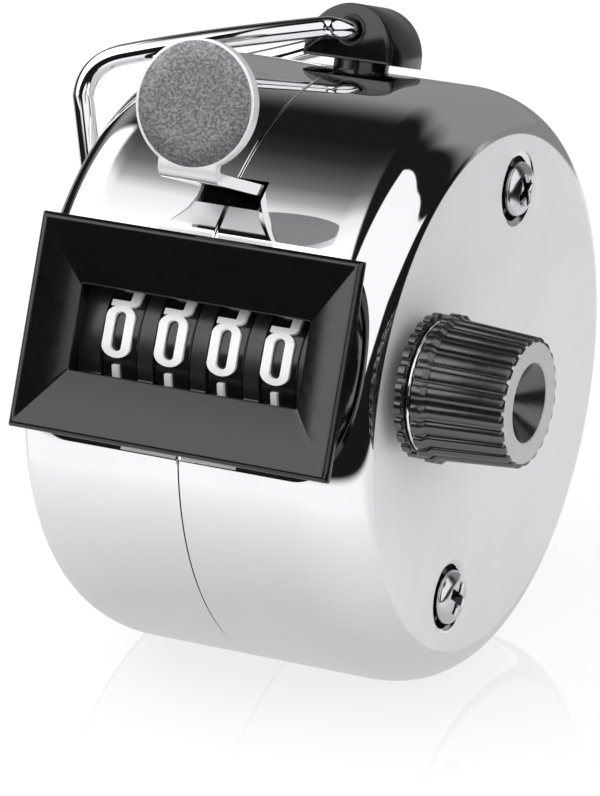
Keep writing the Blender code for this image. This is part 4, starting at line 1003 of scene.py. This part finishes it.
# The thumb lever: a stamped and bent steel strip, chromed, that ends in a round disc. Inside, a barrel
# runs on the pivot pin and an arm carries the drive pawl.
DISC_RADIUS = 4.7
DISC_TILT = math.radians(17.0)
DISC_NECK = 0.7
BEND_RADIUS = 1.1
PAD_RADIUS = 4.5
PAD_HEIGHT = 0.035
DISC_UP = Vector((math.sin(DISC_TILT), math.cos(DISC_TILT)))
DISC_OUT = Vector((-math.cos(DISC_TILT), math.sin(DISC_TILT)))
LEVER_PIVOT = on_strip(6.0, -LEVER_THICKNESS - 1.9)
PAWL_PIVOT = LEVER_PIVOT + Vector((0.5, -9.7))
HEEL = on_strip(-8.24, -LEVER_THICKNESS)


def arc(centre, radius, first, last, steps):
    turns = [first + (last - first) * i / steps for i in range(steps + 1)]
    return [Vector((centre[0] + radius * math.cos(t), centre[1] + radius * math.sin(t))) for t in turns]


lever_chrome = plated("lever_chrome_plate", (0.80, 0.805, 0.81), (0.88, 0.885, 0.89), 0.03, 0.06, 5000.0, 0.006)
lever_height = placed_axes(lever_chrome)[2]
dulled(lever_chrome, lever_height.smooth(HEEL.y - 0.4, HEEL.y + 0.2), 0.40, 0.30)

stations = [(on_strip(12.2, -LEVER_THICKNESS), on_strip(12.2, 0), LEVER_HALF_WIDTH)]
bend_centre = HEEL + (UPWARD - DISC_OUT) * BEND_RADIUS / (1 - UPWARD.dot(DISC_OUT))
first = math.atan2(-UPWARD.y, -UPWARD.x)
last = math.atan2(DISC_OUT.y, DISC_OUT.x) - math.tau
for under, over in zip(arc(bend_centre, BEND_RADIUS, first, last, 12),
                       arc(bend_centre, BEND_RADIUS - LEVER_THICKNESS, first, last, 12)):
    stations.append((under, over, LEVER_HALF_WIDTH))
chord = math.asin(LEVER_HALF_WIDTH / DISC_RADIUS)
for i in range(73):
    t = chord + (math.radians(172) - chord) * i / 72
    under = HEEL + DISC_UP * (DISC_NECK + DISC_RADIUS * (1 - math.cos(t)))
    stations.append((under, under - DISC_OUT * LEVER_THICKNESS, DISC_RADIUS * math.sin(t)))
rows = [[(-half, *under), (half, *under), (half, *over), (-half, *over)] for under, over, half in stations]
strip = skin_piece("thumb_lever_strip", lever_chrome, rows, 30.0, capped=True)
rounded(strip, 0.14, 3, 50.0)
given(strip, "lever", "chrome", "thumb_lever")

bm = bmesh.new()
turned(bm, [(-2.0, 1.05), (-2.0, 1.9), (10.3, 1.9), (10.3, 1.05)], 48, LEVER_PIVOT, closed=True)
foot = PAWL_PIVOT - LEVER_PIVOT
arm = [LEVER_PIVOT + Vector(corner) for corner in
       ((-1.4, -1.2), (foot.x - 1.1, foot.y + 0.75), (foot.x - 1.1, foot.y - 1.1), (foot.x + 1.1, foot.y - 1.1),
        (foot.x + 1.1, foot.y + 0.75), (1.4, -1.2))]
prism(bm, arm, 9.66, 10.6)
lever_works = finished("thumb_lever_arm", bm, works_steel)
rounded(lever_works, 0.08, 2)
given(lever_works, "lever", "chrome")

grip, tree, shader = new_material("blasted_grip")
shader.inputs["Metallic"].default_value = 1.0
coarse = noise_of(tree, 4200.0, 4.0, 0.65)
dressed(tree, shader, mixed(coarse.smooth(0.36, 0.64), (0.24, 0.24, 0.245, 1), (0.46, 0.46, 0.47, 1)),
        noise_of(tree, 3800.0, 3.0, 0.6).mapped(0.3, 0.7, 0.45, 0.65), coarse, 0.6, 0.00008)
rings = []
for proud, radius in ((-0.1, PAD_RADIUS), (0.0, PAD_RADIUS), (PAD_HEIGHT, PAD_RADIUS - 0.06),
                      (PAD_HEIGHT, PAD_RADIUS * 0.66), (PAD_HEIGHT, PAD_RADIUS * 0.33)):
    centre = HEEL + DISC_UP * (DISC_NECK + DISC_RADIUS) + DISC_OUT * proud
    rings.append([(radius * math.cos(t), *(centre + DISC_UP * radius * math.sin(t))) for t in whole_turn(96)])
pad = skin_piece("thumb_lever_grip", grip, rings, capped=True)
given(pad, "lever", "chrome")


# The finger bail: chromed wire bent to an open loop, sprung into the hub's cross hole at both ends.
# The hub is a black half-round moulding on a short stem that passes through the seam.
HUB_FLOOR = DRUM_RADIUS + 0.58
HUB_RADIUS = 3.75
HUB_STRAIGHT = 0.53
HUB_HALF = 2.75
EYE_DISTANCE = HUB_FLOOR + HUB_STRAIGHT + 1.72
EYE_RADIUS = 0.95
WIRE_RADIUS = 0.8
BAIL_HALF = 8.6
EYE_BEND = 1.3
SHOULDER_X = -15.3
LEG_X = -18.58
FOOT_BEND = 4.5


def hub_profile(grow):
    reach = HUB_RADIUS + grow
    arch = [math.pi * i / 48 for i in range(49)]
    ring = [(reach * math.cos(t), HUB_STRAIGHT + reach * math.sin(t)) for t in arch]
    ring += [(-reach, HUB_STRAIGHT * (1 - i / 6) - grow * i / 6) for i in range(1, 7)]
    ring += [(-reach + 2 * reach * i / 24, -grow) for i in range(1, 24)]
    ring += [(reach, HUB_STRAIGHT * i / 6 - grow * (1 - i / 6)) for i in range(6)]
    return ring


def eye_ring(radius, along):
    """A ring about the cross hole of the hub."""
    return [on_hub(radius * math.cos(t), along, EYE_DISTANCE + radius * math.sin(t)) for t in whole_turn(48)]


rings = []
for along, grow in ((-HUB_HALF, -0.25), (-HUB_HALF + 0.07, -0.07), (-HUB_HALF + 0.25, 0.0),
                    (HUB_HALF - 0.25, 0.0), (HUB_HALF - 0.07, -0.07), (HUB_HALF, -0.25)):
    rings.append([on_hub(x, along, HUB_FLOOR + out) for x, out in hub_profile(grow)])
hub = skin_piece("bail_hub_moulding", black_plastic, rings, 40.0, capped=True)
eye = [eye_ring(EYE_RADIUS, -4), eye_ring(EYE_RADIUS, 4)]
cut_by(hub, [skin_piece("cut_eye", black_plastic, eye, capped=True)])
hub.data.shade_smooth()
hub.data.set_sharp_from_angle(angle=math.radians(40))
given(hub, "case", "black_plastic", "bail_hub")

rings = [stem_ring(radius, out)
         for out, radius in ((20.0, 1.6), (20.0, 2.1), (HUB_FLOOR + 0.1, 2.1), (HUB_FLOOR + 0.1, 1.6))]
stem = skin_piece("bail_hub_stem", black_plastic, rings, closed=True)
given(stem, "case", "black_plastic")

eyelet_dark = plated("blackened_eyelet", (0.05, 0.05, 0.052), (0.10, 0.10, 0.102), 0.20, 0.32, 2600.0, 0.05)
bm = bmesh.new()
for side in (-1, 1):
    skinned(bm, [eye_ring(1.12 + 0.10 * math.cos(t), side * (HUB_HALF + 0.04 + 0.10 * math.sin(t)))
                 for t in whole_turn(16)], closed=True)
eyelets = finished("bail_hub_eyelets", bm, eyelet_dark)
given(eyelets, "case", "black_plastic")


def bail_route():
    """The wire's centre line as (x, along the hub, outwards from its eye): one half, then its mirror."""
    points = [(0, -1.15, 0), (0, -2.2, 0), (0, -HUB_HALF, 0)]
    points += [(-EYE_BEND * (1 - math.cos(t)), -HUB_HALF - EYE_BEND * math.sin(t), 0) for t in quarter(10)[1:]]
    start = points[-1]
    for i in range(1, 31):
        share = i / 30
        spread = start[1] + (-BAIL_HALF - start[1]) * math.sin(share * math.radians(90))
        points.append((start[0] + (SHOULDER_X - start[0]) * share, spread,
                       -(4.13 * share - 0.23 * share * (1 - share))))
    shoulder = Vector(points[-1])
    leg_top = Vector((LEG_X, -BAIL_HALF, shoulder.z - 3.63))
    control = Vector((LEG_X, -BAIL_HALF, shoulder.z - 0.924))
    for i in range(1, 15):
        t = i / 14
        points.append(tuple(shoulder * (1 - t)**2 + control * 2 * t * (1 - t) + leg_top * t**2))
    leg_end = Vector((-16.0, -BAIL_HALF, leg_top.z - 8.9))
    points += [tuple(leg_top.lerp(leg_end, i / 8)) for i in range(1, 9)]
    points += [(leg_end.x, -BAIL_HALF + FOOT_BEND * (1 - math.cos(t)), leg_end.z - FOOT_BEND * math.sin(t))
               for t in quarter(14)[1:]]
    return points + [(x, -along, out) for x, along, out in reversed(points)]


curve = bpy.data.curves.new("bail_form", "CURVE")
curve.dimensions = "3D"
curve.bevel_depth = WIRE_RADIUS * MM
curve.bevel_resolution = 8
curve.use_fill_caps = True
spline = curve.splines.new("POLY")
route = bail_route()
spline.points.add(len(route) - 1)
for spline_point, (x, along, out) in zip(spline.points, route):
    spline_point.co = (*point(*on_hub(x, along, EYE_DISTANCE + out)), 1.0)
form = linked("bail_form", curve)
bpy.context.view_layer.update()
bail_mesh = bpy.data.meshes.new_from_object(form.evaluated_get(bpy.context.evaluated_depsgraph_get()))
bpy.data.objects.remove(form, do_unlink=True)
bail_mesh.materials.clear()
bail_mesh.materials.append(chrome)
bail_mesh.shade_smooth()
bail_mesh.set_sharp_from_angle(angle=math.radians(40))
bail = linked("bail_wire_loop", bail_mesh)
given(bail, "bail", "chrome", "bail_wire")


# The reset knob: a black moulding with ribs for the fingers and a dished end, behind it a bright
# spacer ring and a ribbed flange. All three are keyed to the number shaft.
RIBS = 24
KNOB_START = 16.8
KNOB_END = 23.8
COLLAR_END = 17.9
COLLAR_RADIUS = 5.45
GRIP_RADIUS = 5.15
TIP_RADIUS = 4.75
RIB_DEPTH = 0.3
RIB_CREST = 0.26
FLANGE_RADIUS = 5.3
TAPER = (TIP_RADIUS - GRIP_RADIUS) / (KNOB_END - COLLAR_END)

knob_black = surface("knob_moulding", ((600.0, 3.0), (0.006, 0.006, 0.0064), (0.012, 0.012, 0.0125)),
                     ((1800.0, 3.0), 0.20, 0.28), ((9000.0, 3.0), 0.06, 0.00002), IOR=1.65,
                     Specular_IOR_Level=0.95)
# The ring round the dimple at the knob's end is coloured a flat grey.
knob_grey = surface("knob_worn_end", ((900.0, 4.0), (0.48, 0.48, 0.485), (0.60, 0.60, 0.605)),
                    ((1800.0, 3.0), 0.35, 0.5), ((6000.0, 3.0), 0.15, 0.00002))

rib_tree, known = node_group("ribs_round_a_shaft", Rib="Object", Core="Object", Finish="Material", Ribs="Int",
                             Centre="Vector")
rib_shape = made(rib_tree, "GeometryNodeObjectInfo", "Geometry", Object=known["Rib"])
core_shape = made(rib_tree, "GeometryNodeObjectInfo", "Geometry", Object=known["Core"])
spots = made(rib_tree, "GeometryNodeMeshLine", Count=known["Ribs"], Offset=(0, 0, 0))
share = Number(made(rib_tree, "GeometryNodeInputIndex")).math("DIVIDE", known["Ribs"])
spin = made(rib_tree, "ShaderNodeCombineXYZ", X=share * math.tau)
ribs = made(rib_tree, "GeometryNodeInstanceOnPoints", Points=spots, Instance=rib_shape, Rotation=spin)
joined = rib_tree.nodes.new("GeometryNodeJoinGeometry")
for shape in (made(rib_tree, "GeometryNodeRealizeInstances", Geometry=ribs), core_shape):
    feed(joined.inputs[0], shape)
placed = made(rib_tree, "GeometryNodeTransform", Geometry=joined.outputs[0], Translation=known["Centre"])
ended(rib_tree, placed, known["Finish"])


def rib_form(stations):
    """One rib along X at the top of the shaft's circle, from stations of (x, foot, crest, half width)."""
    bm = bmesh.new()
    rows = []
    for x, foot_radius, crest, half in stations:
        row = [(x, -half, foot_radius)]
        for i in range(9):
            t = math.pi * (1 - i / 8)
            row.append((x, half * 0.96 * math.cos(t), crest - RIB_CREST + RIB_CREST * math.sin(t)))
        row.append((x, half, foot_radius))
        rows.append(row)
    skinned(bm, rows, capped=True)
    bmesh.ops.translate(bm, verts=bm.verts, vec=-DRUM_CENTRE)
    return finished("rib_form", bm, knob_black, 40.0)


def core_form(profile, closed=False):
    bm = bmesh.new()
    turned(bm, profile, 96, closed=closed)
    bmesh.ops.translate(bm, verts=bm.verts, vec=-DRUM_CENTRE)
    return finished("core_form", bm, knob_black)


def ribbed(name, core, rib):
    return node_piece(name, rib_tree, Rib=rib, Core=core, Finish=knob_black, Ribs=RIBS, Centre=point(0, *SHAFT))


def grip_radius(x):
    return GRIP_RADIUS + TAPER * (x - COLLAR_END)


knob_core = core_form([
    (KNOB_END - 3.2, 0), (KNOB_END - 3.2, SHAFT_BORE), (KNOB_START, SHAFT_BORE),
    (KNOB_START, COLLAR_RADIUS - 0.42),
    (KNOB_START + 0.12, COLLAR_RADIUS - RIB_DEPTH), (COLLAR_END - 0.30, COLLAR_RADIUS - RIB_DEPTH),
    (COLLAR_END, GRIP_RADIUS - RIB_DEPTH), (KNOB_END - 0.30, grip_radius(KNOB_END - 0.3) - RIB_DEPTH),
    (KNOB_END - 0.12, TIP_RADIUS - 0.38), (KNOB_END - 0.02, TIP_RADIUS - 0.5),
    (KNOB_END - 0.02, 3.6), (KNOB_END - 2.2, 3.4), (KNOB_END - 2.2, 0)])
knob_rib = rib_form([
    (KNOB_START + 0.02, 4.7, COLLAR_RADIUS - 0.16, 0.42), (KNOB_START + 0.16, 4.7, COLLAR_RADIUS, 0.56),
    (COLLAR_END - 0.34, 4.7, COLLAR_RADIUS, 0.56), (COLLAR_END - 0.02, 4.5, GRIP_RADIUS + 0.02, 0.54),
    (COLLAR_END + 0.2, 4.4, grip_radius(COLLAR_END + 0.2), 0.53),
    (KNOB_END - 0.26, 4.2, grip_radius(KNOB_END - 0.26), 0.49),
    (KNOB_END - 0.1, 4.15, TIP_RADIUS - 0.08, 0.46), (KNOB_END - 0.02, 4.1, TIP_RADIUS - 0.22, 0.40)])
knob = ribbed("reset_knob_moulding", knob_core, knob_rib)
given(knob, "knob", "black_plastic", "reset_knob")

knob_face = turned_piece("reset_knob_end", knob_grey, [
    (KNOB_END - 0.5, 4.42), (KNOB_END - 0.06, 4.42), (KNOB_END, 4.36), (KNOB_END, 2.98), (KNOB_END - 0.05, 2.9),
    (KNOB_END - 0.25, 2.84), (KNOB_END - 0.5, 3.2)], 96, SHAFT, closed=True)
given(knob_face, "knob", "black_plastic")

knob_dimple = turned_piece("reset_knob_dimple", knob_black, [
    (KNOB_END - 2.3, 0.0), (KNOB_END - 2.3, 3.3), (KNOB_END - 0.6, 3.3), (KNOB_END - 0.22, 2.95),
    (KNOB_END - 0.10, 2.86), (KNOB_END - 0.4, 2.5), (KNOB_END - 2.05, 0.62), (KNOB_END - 2.15, 0.45),
    (KNOB_END - 2.18, 0.2), (KNOB_END - 2.18, 0.0)], 96, SHAFT)
given(knob_dimple, "knob", "black_plastic")

flange_core = core_form([
    (14.5, SHAFT_BORE), (14.5, 2.0), (15.45, 2.0), (15.45, FLANGE_RADIUS - 0.42),
    (15.57, FLANGE_RADIUS - RIB_DEPTH),
    (16.08, FLANGE_RADIUS - RIB_DEPTH), (16.2, FLANGE_RADIUS - 0.42), (16.2, SHAFT_BORE)], closed=True)
flange_rib = rib_form([(15.47, 4.6, FLANGE_RADIUS - 0.14, 0.42), (15.58, 4.6, FLANGE_RADIUS, 0.54),
                       (16.07, 4.6, FLANGE_RADIUS, 0.54), (16.18, 4.6, FLANGE_RADIUS - 0.14, 0.42)])
flange = ribbed("knob_flange_moulding", flange_core, flange_rib)
given(flange, "knob", "black_plastic", "knob_flange")

spacer = turned_piece("knob_spacer_ring", chrome, [
    (16.35, SHAFT_BORE), (16.35, 4.84), (16.38, 4.91), (16.44, 4.95), (16.56, 4.95), (16.62, 4.91),
    (16.65, 4.84), (16.65, SHAFT_BORE)], 96, SHAFT, closed=True, angle=50.0)
given(spacer, "knob", "chrome", "knob_spacer")
